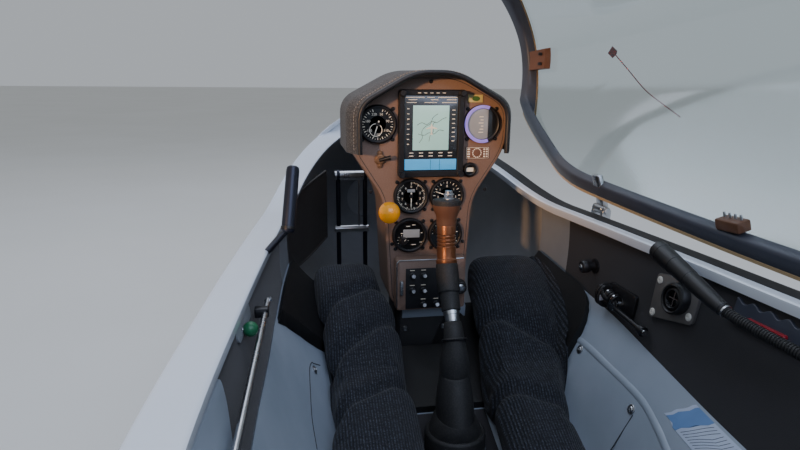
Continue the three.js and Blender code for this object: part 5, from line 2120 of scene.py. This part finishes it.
    def mark(self, piece: Piece, x: float, z: float, rim: float, scale: Scale) -> None:
        """Prints ticks, numbers and a needle on a dial."""
        y = self.front - 3
        for k in range(scale.ticks):
            angle = scale.first + (scale.last - scale.first) * k / (scale.ticks - 1)
            long = k % scale.long_every == 0
            piece.add(stroke(x, z, angle, rim - (5.2 if long else 3.4), rim - 1.2, 1.1 if long else 0.6, y), 2)
        for k, number in enumerate(scale.numbers):
            angle = math.radians(scale.first + (scale.last - scale.first) * k / max(len(scale.numbers) - 1, 1))
            spot = (x + scale.number_ring * math.sin(angle), y - 0.1, z + scale.number_ring * math.cos(angle))
            piece.add(lettering(number, *spot, 5.4), 2)
        if scale.needle is not None:
            piece.add(stroke(x, z, scale.needle, -6, rim - 4, 2.4, y - 1.2, 0.25), 2)
            piece.add(spun([(3.4, 0), (3.4, 2), (2.6, 2.8)], (x, y, z), (0, -1, 0), 20))

    def build_dials(self) -> None:
        """Makes the round instruments."""
        tens = tuple(str(k) for k in (50, 90, 110, 130, 150, 180, 220))
        speed = self.dial("speed_dial", "airspeed_indicator", -86, 147, 31, Scale(20, 340, 33, tens, 16.6, 198))
        speed.add(
            lathe([(9.4, 3), (10.4, 3), (10.4, 3.3), (9.4, 3.3)], (-89, self.front, 138), (0, -1, 0), 32, closed=True),
            2
        )
        speed.build("black", "airspeed_indicator")
        height = self.dial(
            "height_dial", "altimeter", -30.2, 29.5, 29.6, Scale(0, 324, 50, tuple("0123456789"), 15.6, 180, 5)
        )
        height.add(block(-37, -24, self.front - 3.6, self.front - 2.9, 36, 41, 0.2), 3)
        height.build("black", "altimeter")
        climb = self.dial(
            "climb_dial", "needle_vario", 30.2, 29.5, 29.6,
            Scale(-150, 150, 21, ("5", "3", "1", "0", "1", "3", "5"), 15.4, -70)
        )
        climb.build("black", "needle_vario")

        vario = self.dial("vario_dial", "vario_display", 86, 147, 31, None)
        y = self.front
        turns = np.radians(spread(68, 290, 40))
        arc = [(86 + 30.6 * math.cos(a), 147 + 30.6 * math.sin(a)) for a in turns]
        arc += [(86 + 25.2 * math.cos(a), 147 + 25.2 * math.sin(a)) for a in reversed(turns)]
        vario.add(prism(arc, y - 8.6, y - 6.4, "y", 0.5, 2), 4)
        glass = [(86 + 24.6 * math.cos(a), 147 + 24.6 * math.sin(a)) for a in np.radians(spread(66, 294, 36))]
        vario.add(prism(glass, y - 4.4, y - 2.6, "y", 0.3, 2), 3)
        for k, wide in enumerate((7, 5, 8, 4, 6, 8)):
            vario.add(block(88 - wide, 88, y - 4.8, y - 4.3, 158 - 5 * k, 159.2 - 5 * k, 0.2), 2)
        vario.build("black", "vario_display")

        for name, node, x, knobs in (
            ("radio_unit", "radio", -32, ((-11, -9),)), ("transponder_unit", "transponder", 29, ((-14, 6), (11, -13)))
        ):
            unit = self.dial(name, node, x, -37, 29.6, None)
            unit.add(block(x - 8 if knobs[0][0] < -12 else x - 11, x + 17, y - 4.4, y - 2.9, -41, -27, 0.8), 3)
            for k, (u, v, wide) in enumerate(
                ((-6, 15, 7), (4, 17, 6), (-15, 3, 4), (17, -13, 5), (3, -17, 8), (19, 3, 3))
            ):
                unit.add(block(x + u, x + u + wide, y - 3.5, y - 2.9, -37 + v, -35.9 + v, 0.2), 2)
            for u, v in knobs:
                rows = [(0, 3), (7, 3), (7, 4.2), (6.2, 5), (6, 10), (5.2, 11), (0, 11)]
                unit.add(lathe(rows, (x + u, y, -37 + v), (0, -1, 0), 22))
                unit.add(stroke(x + u, -37 + v, 40, 1.5, 5.2, 0.9, y - 11), 2)
                for k in range(7):
                    unit.add(stroke(x + u, -37 + v, -120 + 35 * k, 8, 9.8, 0.6, y - 3), 2)
            unit.build("black", node)

        small = self.dial("small_display", "flight_display_small", 68, 72, 12, None)
        small.add(block(61.5, 74.5, y - 4, y - 2.9, 68.6, 75.4, 0.6), 2)
        small.build("black", "flight_display_small")

    def build_display(self) -> None:
        """Makes the moving map display."""
        y = self.front
        unit = Piece("map_unit", BLACK_PLASTIC, SCREEN, MAP_FIELD, MAP_BAR, MARKS, DIAL_FACE)
        outer = rounded_rectangle(-53.6, 53.6, 62.4, 201.6, 5)
        unit.add(prism(outer, y - 9, y, "y", 1.6))
        frame_outer, frame_inner = outer, rounded_rectangle(-44.5, 43.5, 72, 193, 2)
        rings = []
        for line, place in (
            (frame_outer, y - 8), (frame_outer, y - 12.6), (inset_outline(frame_outer, 1.4), y - 14),
            (inset_outline(frame_inner, -0.8), y - 14), (frame_inner, y - 13.2), (frame_inner, y - 8)
        ):
            rings.append([(p[0], place, p[1]) for p in line])
        unit.add(loft(rings, round_trip=True))
        unit.add(block(-44.3, 43.3, y - 10.2, y - 8.6, 72.2, 192.8, 0.3), 1)
        unit.add(block(-30.5, 28.5, y - 10.7, y - 9.6, 106, 177, 0.2), 2)
        unit.add(block(-43.5, 42.5, y - 10.7, y - 9.6, 74, 91.5, 0.2), 3)
        for x in (-1, 14):
            unit.add(block(x, x + 0.5, y - 11, y - 10.4, 74.4, 91, 0.1), 5)
        top = y - 10.2
        for k, (x, z, wide) in enumerate(
            (
                (-42, 189, 30), (-8, 189, 12), (10, 189, 31), (-38, 185.4, 14), (-2, 185.4, 12), (24, 185.4, 16),
                (-41, 181, 16), (-12, 181, 20), (16, 181, 24)
            )
        ):
            unit.add(block(x, x + wide, top - 0.5, top, z, z + 1.0, 0.1), 4)
        for k in range(8):
            unit.add(block(-40, -36.5, top - 0.5, top, 171 - 8 * k, 172.3 - 8 * k, 0.1), 4)
            unit.add(block(33.5, 38.5, top - 0.5, top, 169 - 7 * k, 170.2 - 7 * k, 0.1), 4)
        for k in range(5):
            for z in (101, 96):
                unit.add(block(-36 + 16 * k, -29 + 16 * k, top - 0.5, top, z, z + 1.3, 0.1), 4)
        roads = (
            ((-24, 146), (-16, 150), (-8, 147), (0, 152), (8, 150), (18, 156), (24, 158)),
            ((-20, 118), (-15, 126), (-16, 136), (-10, 144), (-2, 148), (2, 158), (10, 164)),
            ((-4, 120), (-2, 130), (3, 136), (2, 146), (6, 152)),
            ((-22, 132), (-12, 130), (-4, 134), (4, 132), (12, 138), (20, 137)),
        )
        for road in roads:
            unit.add(tube([(x, y - 10.8, z) for x, z in road], 0.35, 5, 24), 5)
        plane = [
            (0, 150), (-1.4, 144), (-9, 141), (-9, 139.6), (-1.2, 140.6), (-0.8, 133), (-3, 131), (3, 131), (0.8, 133),
            (1.2, 140.6), (9, 139.6), (9, 141), (1.4, 144)
        ]
        unit.add(prism(plane, y - 11.2, y - 10.6, "y"), 4)
        for x in (-48.6, 48.6):
            for z in (67.4, 196.6):
                rows = [(0, 0), (5.6, 0), (5.6, 1.4), (4.9, 2), (4.9, 8.4), (4.2, 9.4), (0, 9.4)]
                unit.add(lathe(rows, (x, y - 14, z), (0, -1, 0), 24))
        for k in range(5):
            unit.add(block(-24 + 10 * k, -19 + 10 * k, y - 14.5, y - 13.8, 196, 197, 0.1), 4)
        unit.build("black", "map_display")

    def build_fittings(self) -> None:
        """Makes the valve, the plates, the switches and the release knob."""
        y = self.front
        valve = Piece("gas_valve", BRASS, BLACK_PLASTIC)
        valve.add(spun([(9, 0), (9, 2.6), (8, 3.6), (6.4, 3.8), (6, 7)], (-82, y, 91), (0, -1, 0), 30))
        for step in (-10, 10):
            valve.add(spun([(4.2, 0), (4.2, 2.2), (3.4, 3)], (-82, y, 91 + step), (0, -1, 0), 18))
            valve.add(screw((-82, y - 3, 91 + step), (0, -1, 0), 2.2, 1))
        valve.add(tube([(-84, y - 8.4, 90.4), (-76, y - 10, 92.6), (-66, y - 12, 95)], [2.6, 3.0, 3.8], 14, 12), 1)
        valve.build("steel", "selector_valve")

        plate = Piece("yellow_plate", YELLOW_PLATE, GREEN_PRINT, MARKS)
        plate.add(block(61.4, 86.6, y - 1.4, y, 181.4, 193.6, 0.6))
        oval = ellipse(75, 187.5, 6.6, 4, 28)
        plate.add(prism(oval, y - 1.9, y - 1.2, "y", 0.2, 1), 1)
        plate.build("yellow", "plate_upper")

        card = Piece("deviation_plate", CATCH_PLASTIC, MARKS)
        card.add(block(60.4, 101.6, y - 1.2, y, 89.4, 109.6, 0.8))
        for k in range(14):
            a = 2 * math.pi * k / 14
            card.add(
                spun(
                    [(1.05, 0), (1.05, 0.5)], (80 + 7.2 * math.cos(a), y - 1.1, 99.5 + 7.2 * math.sin(a)), (0, -1, 0),
                    10
                ),
                1
            )
        for x0, x1 in ((63.5, 68), (91, 94), (95.5, 98.5)):
            for k in range(4):
                card.add(block(x0, x1, y - 1.6, y - 1.1, 92.4 + 4 * k, 94.6 + 4 * k, 0.1), 1)
        for edge in (
            (61.6, 100.4, 90.4, 90.9), (61.6, 100.4, 108.1, 108.6), (61.6, 62.1, 90.4, 108.6),
            (99.9, 100.4, 90.4, 108.6)
        ):
            card.add(block(edge[0], edge[1], y - 1.5, y - 1.1, edge[2], edge[3], 0.1), 1)
        card.build("panel", "plate_lower")

        box = Piece("switch_box", PANEL_PAINT, BLACK_PLASTIC, MARKS, STAINLESS, RUBBER)
        box.add(block(-57.6, 61.6, self.face - 26.6, y, -162.6, -72.4, 5))
        front = self.face - 27.4
        box.add(block(-42, 24, front - 0.1, front + 1.2, -159, -88, 0.5), 1)
        # Painted highlight: a bright steel strip along the box's left and top edges stands for the light on those
        # edges.
        edge = [(-56.6, front + 1.4, -156), (-56.6, front + 1.4, -78), (-53, front + 1.4, -74), (57, front + 1.4, -74)]
        box.add(tube(edge, 1.1, 10), 3)
        for x, z in ((-31, -101), (-12, -101), (-31, -127), (-12, -127), (-12, -152), (10, -152)):
            box.add(spun([(5.6, 0), (5.6, 1.4), (4.4, 2.4)], (x, front, z), (0, -1, 0), 18), 1)
            box.add(
                tube([(x, front - 1, z), (x, front - 8, z + 1.8), (x, front - 13.5, z + 3.6)], [1.8, 2.2, 3.0], 12), 3
            )
            box.add(block(x - 4, x + 4, front - 0.3, front + 0.1, z + 9.2, z + 10.2, 0.1), 2)
        box.add(
            lathe(
                [(0, 0), (12.6, 0), (12.6, 3), (11.4, 4), (11, 12), (9.4, 13.6), (8, 13.6)], (49, front, -122),
                (0, -1, 0), 32
            ),
            4
        )
        box.add(lathe([(0, 12), (7.6, 12), (7.2, 14.2), (5, 16), (0, 16.6)], (49, front, -122), (0, -1, 0), 28), 3)
        box.add(block(-52, -47, front - 7, front + 1, -133, -108, 1.5), 3)
        box.build("panel", "switch_panel")

        knob = Piece("release_ball", YELLOW_KNOB, STAINLESS)
        knob.add(ball((-73, 1283, 12), 17.4, 40))
        knob.add(tube([(-68, y - 0.2, 11), (-69, 1290, 11)], 3.6, 16), 1)
        knob.add(spun([(8, 0), (8, 2), (6.8, 3), (5, 3.4), (5, 9)], (-68, y, 11), (0, -1, 0), 24), 1)
        knob.build("yellow", "release_knob")

    def build(self) -> None:
        """Makes the pod's pieces."""
        self.build_shell()
        self.build_hood()
        self.build_dials()
        self.build_display()
        self.build_fittings()


# Turned brass: dulled, warm.
BRASS = Finish(
    "Brass_turned_dull", "A98566", "8F6E52", 0.38, metallic=0.8, relief=Relief.GRAIN, pitch=1.0, height=0.03, patch=12
)


# Pedals and wall controls

# Vinyl sheet of the foot pocket: dark warm grey, slightly shiny.
VINYL = Finish(
    "Vinyl_sheet_dark_grey", "4C4846", "565250", 0.42, relief=Relief.LEATHER, pitch=2.2, height=0.05, patch=80
)
# Hard-anodised tube: blue black, satin.
ANODISED = Finish(
    "Aluminium_hard_anodised_blue_black", "2A2D38", "343744", 0.33, metallic=0.7, relief=Relief.BRUSHED, pitch=1.0,
    height=0.02, patch=25
)
# Bead-blasted aluminium plate: warm grey.
BLASTED = Finish(
    "Aluminium_bead_blasted_grey", "757270", "696664", 0.5, metallic=0.5, relief=Relief.GRAIN, pitch=0.8, height=0.04,
    patch=25
)
# Moulded knob: green, waxy.
GREEN_PLASTIC = Finish("Polypropylene_moulded_green", "1C6B45", "175C3B", 0.4, patch=8)
# Enamelled slot: red, glossy.
RED_ENAMEL = Finish("Enamel_red", "9C1426", "861022", 0.32, patch=12, coat=0.4)
# Chromed steel screws and collars: bright, mirror-like.
CHROME = Finish("Steel_chromed", "D2D4D6", "BDBFC2", 0.12, metallic=1.0, patch=10)


@dataclass
class Pedals:
    """The rudder pedals and their carriage."""

    y: float = 1655
    z: float = -292
    top: float = 12
    middle: float = -106
    inner: float = 58
    outer: float = 134

    def across_bar(self, x0: float, x1: float, z: float, radius: float) -> Shape:
        """Returns a cross bar with rounded ends."""
        rows = [(0, x0), (radius - 2, x0), (radius, x0 + 2), (radius, x1 - 2), (radius - 2, x1), (0, x1)]
        return lathe(rows, (0, self.y, z), (1, 0, 0), 28)

    def build(self) -> None:
        """Makes the carriage and both pedals."""
        base = Piece("pedal_slide", CHASSIS, STAINLESS)
        base.add(prism([(1714, -330.6), (1560, -330.6), (1560, -382), (1714, -352)], -45.6, 45.6, "x", 2))
        base.add(block(-8.8, 8.8, self.y - 13.6, self.y + 13.6, -334, self.z + 13.6, 2))
        base.add(spun([(5, -149), (6, -148), (6, 148), (5, 149)], (0, self.y, self.z), (1, 0, 0), 24), 1)
        base.build("grey", "pedal_carriage")
        for name, side, body in (("left", -1, Body.PEDAL_LEFT), ("right", 1, Body.PEDAL_RIGHT)):
            pedal = Piece(f"foot_pedal_{name}", STAINLESS, ANODISED, RUBBER)
            parts = [
                (self.across_bar(self.inner, self.outer, self.top, 10), 0),
                (self.across_bar(self.inner, self.outer, self.middle, 8), 0)
            ]
            hub = [
                (6.7, self.inner - 9), (12, self.inner - 9), (13, self.inner - 8), (13, self.outer + 8),
                (12, self.outer + 9), (6.7, self.outer + 9)
            ]
            parts.append((lathe(hub, (0, self.y, self.z), (1, 0, 0), 32, closed=True), 1))
            for x in (self.inner + 9, self.outer - 9):
                parts.append((tube([(x, self.y, self.z + 10), (x, self.y, self.top - 6)], 5, 18), 1))
                parts.append(
                    (
                        lathe(
                            [(11, x - 3), (12.6, x - 3), (12.6, x + 3), (11, x + 3)], (0, self.y, self.top), (1, 0, 0),
                            28, closed=True
                        ),
                        1
                    )
                )
            parts.append(
                (
                    tube(
                        [(self.inner + 22, self.y - 2, self.middle + 6), (self.inner + 22, self.y - 2, self.top - 8)],
                        2.2, 10
                    ),
                    0
                )
            )
            for shape, finish in parts:
                pedal.add(shape if side > 0 else shape.mirrored(), finish)
            pedal.build("steel", f"pedal_{name}", body=body)


@dataclass
class WallControls:
    """The controls on both side walls. Rows of the foot pocket hold y, x, lower and upper edge."""

    cabin: Cabin
    pocket: tuple = ((1400.3, -237, -104, -16), (1480, -226, -140, -8), (1560, -190, -136, 10), (1628, -151, -116, 26))

    def on_wall(self, shape: Shape, side: int) -> Shape:
        """Lays a shape, made with station, height and lift as its x, y and z, on a side wall."""
        found = []
        for y, z, lift in shape.points:
            top, foot = self.cabin.wall_line(side, y)
            found.append((side * (top.x + (foot.x - top.x) * (top.y - z) / (top.y - foot.y) - lift), y, z))
        return Shape(np.array(found), shape.faces)

    def plate(self, y0: float, y1: float, z0: float, z1: float, thick: float, corner: float) -> Shape:
        """Makes a flat plate for a wall."""
        return prism(rounded_rectangle(y0, y1, z0, z1, corner), -2.2, thick, "z", min(1, thick / 3), 2)

    def build_left(self) -> None:
        """Makes the airbrake lever, the slide rod, the trim knob, the recess and the foot pocket."""
        lever = Piece("airbrake_handle", ANODISED, BLACK_PLASTIC, CHROME)
        grip = Route([(-230, 1090, 36), (-225.5, 1104, 74.5), (-221, 1118, 113)])
        end = grip.length
        lever.add(
            grip.turned(
                [(-1, 4), (-0.6, 7), (2, 8.4), (5, 8.5), (end - 6, 8.2), (end - 2, 7.4), (end - 0.2, 5), (end, 1)], 30
            )
        )
        crank = Route([(-230, 1091, 40), (-232, 1100, 14), (-244, 1140, -12), (-275, 1176, -30)])
        lever.add(crank.turned([(0, 4.5), (crank.length, 4.5)], 20))
        lever.add(
            crank.turned(
                [(crank.length - 12, 4), (crank.length - 11.6, 7), (crank.length - 3, 7), (crank.length - 2.6, 4)], 24
            ),
            1
        )
        lever.add(grip.turned([(3, 8.4), (3.3, 9.3), (6.4, 9.3), (6.7, 8.4)], 30), 1)
        lever.build("anodised", "airbrake_lever")

        rod = Piece("slide_rod", STAINLESS, BLACK_PLASTIC)
        slide = Route([(-255, 1040, -32), (-267, 870, -49), (-279, 700, -66)])
        rod.add(slide.turned([(0, 2.2), (1, 3.2), (slide.length - 1, 3.2), (slide.length, 2.2)], 18))
        rod.add(tube([(-250.5, 1038, -30), (-258.5, 1038, -34)], 2.6, 12))
        for x, y, z in ((-258, 1010, -35), (-279, 715, -64.5)):
            rod.add(block(x - 11, x + 4.6, y - 5.6, y + 5.6, z - 5.6, z + 5.6, 1.6), 1)
        rod.build("steel", "wall_rod")

        trim = Piece("trim_button", GREEN_PLASTIC, STAINLESS, WALL_PAINT)
        trim.add(ball((-270, 954, -31), 8, 28))
        trim.add(tube([(-286, 954, -31), (-274, 954, -31)], 3.6, 14), 1)
        trim.add(self.on_wall(self.plate(926, 1006, -36, -16.5, 0.6, 8), -1), 2)
        trim.build("green", "trim_knob")

        recess = Piece("grab_recess", TUB_PAINT)
        outline = rounded_outline([(726, -84), (796, -84), (812, -70), (833, -43), (838, -22), (726, -22)], 9)
        recess.add(self.on_wall(prism(outline, -2.2, 2, "z", 0.8, 2), -1))
        recess.build("grey", "wall_recess")

        pocket = Piece("foot_pocket", VINYL)
        faces = []
        for lift in (0.0, 3.0):
            rows = []
            for y in spread(self.pocket[0][0], self.pocket[-1][0], 30):
                x, low, high = (curve_through(self.pocket, c, y) for c in (1, 2, 3))
                rows.append([(x - 0.8 - lift, y, low + (high - low) * t) for t in spread(0, 1, 16)])
            faces.append(rows)
        pocket.add(slab(faces[0], faces[1]))
        for column in (2, 3):
            pocket.add(tube([(r[1] - 2.4, r[0], r[column]) for r in self.pocket], 2.6, 12, 30))
        y, x, low, high = self.pocket[-1]
        pocket.add(tube([(x - 2.4, y, low), (x - 2.4, y, high)], 2.6, 12))
        pocket.build("grey", "side_pocket", angle=60)

    def build_right(self) -> None:
        """Makes the gear lever and its gate, the air vent, the map clamp and the wall knob."""
        route = Route(
            [
                (240, 1042, 9), (240, 1008, 0.5), (240, 972, -8.5), (241, 912, -23.5), (248, 872, -30), (258, 828, -35),
                (262, 812, -38)
            ]
        )
        lever = Piece("gear_handle", BLACK_PLASTIC, RUBBER, STAINLESS, BLASTED)
        sleeve = [
            (0, 6), (0.4, 10.6), (2, 12.8), (12, 13.2), (12.4, 12.7), (13.4, 12.7), (13.8, 13.1), (40, 12.2),
            (40.4, 11.7), (41.2, 11.7), (41.6, 12.1)
        ]
        sleeve += [(72, 11.1), (72.4, 10.6), (73.2, 10.6), (73.6, 10.9), (110, 9.6), (126, 8.8), (133, 8.3), (135, 6.5)]
        lever.add(route.turned(sleeve, 30))
        lever.add(route.turned([(133, 5), (133.4, 7.4), (137, 7.2), (138, 6)], 26), 1)
        lever.add(route.turned([(137, 5), (137.2, 7.4), (139.2, 7.4), (139.4, 5)], 26), 2)
        ribs = [(139, 4.6)]
        for k in range(36):
            ribs += [(139.6 + 3.1 * k, 6.2), (141 + 3.1 * k, 6.2), (141.4 + 3.1 * k, 5.2), (142.3 + 3.1 * k, 5.2)]
        lever.add(route.turned([r for r in ribs if r[0] < route.length - 1] + [(route.length, 5)], 22), 1)
        lever.add(tube([(262, 818, -38), (288, 818, -38)], 4.8, 16), 3)
        for a in range(0, 360, 90):
            lever.add(
                spun(
                    [(1.6, 0), (1.6, 0.5)],
                    route.at(7) + Vector((-12.7 * math.cos(math.radians(a)), 0, 12.7 * math.sin(math.radians(a)))),
                    (-math.cos(math.radians(a)), 0, math.sin(math.radians(a))), 10
                ),
                1
            )
        lever.build("rubber", "gear_lever")

        gate = Piece("gear_gate_plate", FRAME_PAINT, RED_ENAMEL, SEALANT)
        crest = [(938 - 92 * s, -23 + 2.6 * math.cos(2 * math.pi * 4 * s)) for s in spread(0, 1, 41)]
        gate.add(self.on_wall(prism([*crest, (846, -50), (938, -50)], -2.2, 3, "z", 0.6, 1), 1))
        gate.add(self.on_wall(prism(rounded_rectangle(862, 914, -42, -36, 2.4), 2.4, 7.6, "z", 0.8, 2), 1), 1)
        gate.build("red", "gear_gate")

        vent = Piece("air_nozzle", BLASTED, BLACK_PLASTIC, CHROME, NYLON)
        outline = rounded_outline([(990.4, -77.6), (1069.6, -95.6), (1071.6, -34.4), (990.4, -22.4)], 5)
        vent.add(self.on_wall(prism(outline, -2.2, 3, "z", 0.8, 2), 1))
        y, z = 1022, -53
        ring = [(15.8, 2), (20.6, 2), (20.8, 3), (20.6, 12.4), (19.4, 14.6), (17.6, 15.4), (16.4, 14.6), (15.8, 13)]
        globe = [(0, 3), (15.6, 3), (15.6, 9.4), (14.6, 12.4), (13, 14), (11.6, 14.2), (10.8, 13.2), (10.4, 6), (0, 6)]
        shapes = [(lathe(ring, (y, z, 0), sides=44, closed=True), 1), (lathe(globe, (y, z, 0), sides=40), 1)]
        for wide, high in ((10, 0.8), (0.8, 10)):
            shapes.append(
                (
                    prism(
                        [(y - wide, z - high), (y + wide, z - high), (y + wide, z + high), (y - wide, z + high)], 5, 11,
                        "z"
                    ),
                    2
                )
            )
        for v, w in ((998, -69), (998, -31), (1063, -87), (1064, -42)):
            shapes.append((spun([(5.2, 2.6), (5.2, 3.4), (4, 4.4), (1.2, 4.6), (1, 3.6)], (v, w, 0), sides=18), 3))
        for shape, finish in shapes:
            vent.add(self.on_wall(shape, 1), finish)
        vent.build("black", "air_vent")

        clamp = Piece("map_holder", BLACK_PLASTIC, CHROME, LABEL)
        clamp.add(self.on_wall(self.plate(1102, 1172, -117, -80, 3, 7), 1))
        axis = (-1, 0, 0)
        at = (262, 1137, -104)
        clamp.add(
            spun(
                [
                    (10, 0), (10, 3), (8, 4), (8, 12), (9, 13), (9, 17), (7.6, 18), (7.6, 22), (9, 23), (9, 25.4),
                    (7, 26)
                ],
                at, axis, 30
            ),
            1
        )
        for step in (9, 20):
            clamp.add(
                lathe(
                    [(7.8, step), (10.4, step), (11, step + 1), (10.4, step + 2), (7.8, step + 2)], at, axis, 30,
                    closed=True
                )
            )
        arm = Route([(245, 1064, -115), (241.5, 1100, -111), (239.5, 1137, -108), (240, 1166, -106)])
        clamp.add(arm.turned([(0, 3), (0.6, 4), (arm.length - 0.6, 4), (arm.length, 3)], 18))
        for lift in (0, 14):
            bow = [(238 + lift, 1140, -100), (233 + lift, 1150, -96), (235 + lift, 1162, -92), (242 + lift, 1170, -95)]
            clamp.add(tube(bow, 2.6, 12, 16, flat=1.6))
        jaw = rounded_outline([(229, -112), (240, -119), (258, -116), (258, -84), (236, -82), (228, -94)], 7)
        for place in (1160, 1167):
            clamp.add(prism(jaw, place, place + 4.6, "y", 1.6))
        clamp.add(prism(rounded_rectangle(231, 238, -106, -97, 1), 1159.4, 1160.4, "y", 0.3, 1), 2)
        clamp.add(spun([(7.5, 0), (8.6, 1.2), (8.6, 24), (7.5, 25.2)], (243, 1156, -95), (0, -1, -0.1), 30))
        for step in (3, 9, 15, 21):
            clamp.add(
                lathe(
                    [(8.4, step), (9.8, step), (9.8, step + 2.4), (8.4, step + 2.4)], (243, 1156, -95), (0, -1, -0.1),
                    30, closed=True
                ),
                1 if step in (3, 21) else 0
            )
        for radius, first, last in ((6.2, 0, 5), (7.6, 5, 9), (5, 9, 13)):
            clamp.add(
                spun([(radius, first), (radius, last)], (245, 1070, -115), (0.05, -1, -0.1), 20),
                1 if radius == 5 else 0
            )
        clamp.build("steel", "map_clamp")

        knob = Piece("heater_knob", BLACK_PLASTIC, CHROME)
        knob.add(
            spun(
                [(12, 0), (12, 2.4), (6, 3.4), (6, 12), (9.4, 13), (10, 15), (10, 23), (8.8, 25), (4.6, 25.4)],
                (254.2, 1222, -72), axis, 32
            )
        )
        knob.add(screw((229, 1222, -72), axis, 4.6, 2.2), 1)
        knob.build("black", "wall_knob")

    def build(self) -> None:
        """Makes the controls of both walls."""
        self.build_left()
        self.build_right()


def main() -> None:
    """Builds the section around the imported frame."""
    logging.basicConfig(level=logging.INFO, format="%(message)s")
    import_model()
    cad_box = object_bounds()
    studio = Studio()
    studio.camera()
    canopy = Canopy()
    canopy.build()
    studio.floor(cad_box[0][2] - MM)
    studio.lights()
    Hull().build()
    Pedals().build()
    WallControls(Cabin()).build()
    Stick().build()
    Pod().build()
    Cabin().build()
    Seat(Cabin()).build()


if __name__ == "__main__":
    main()
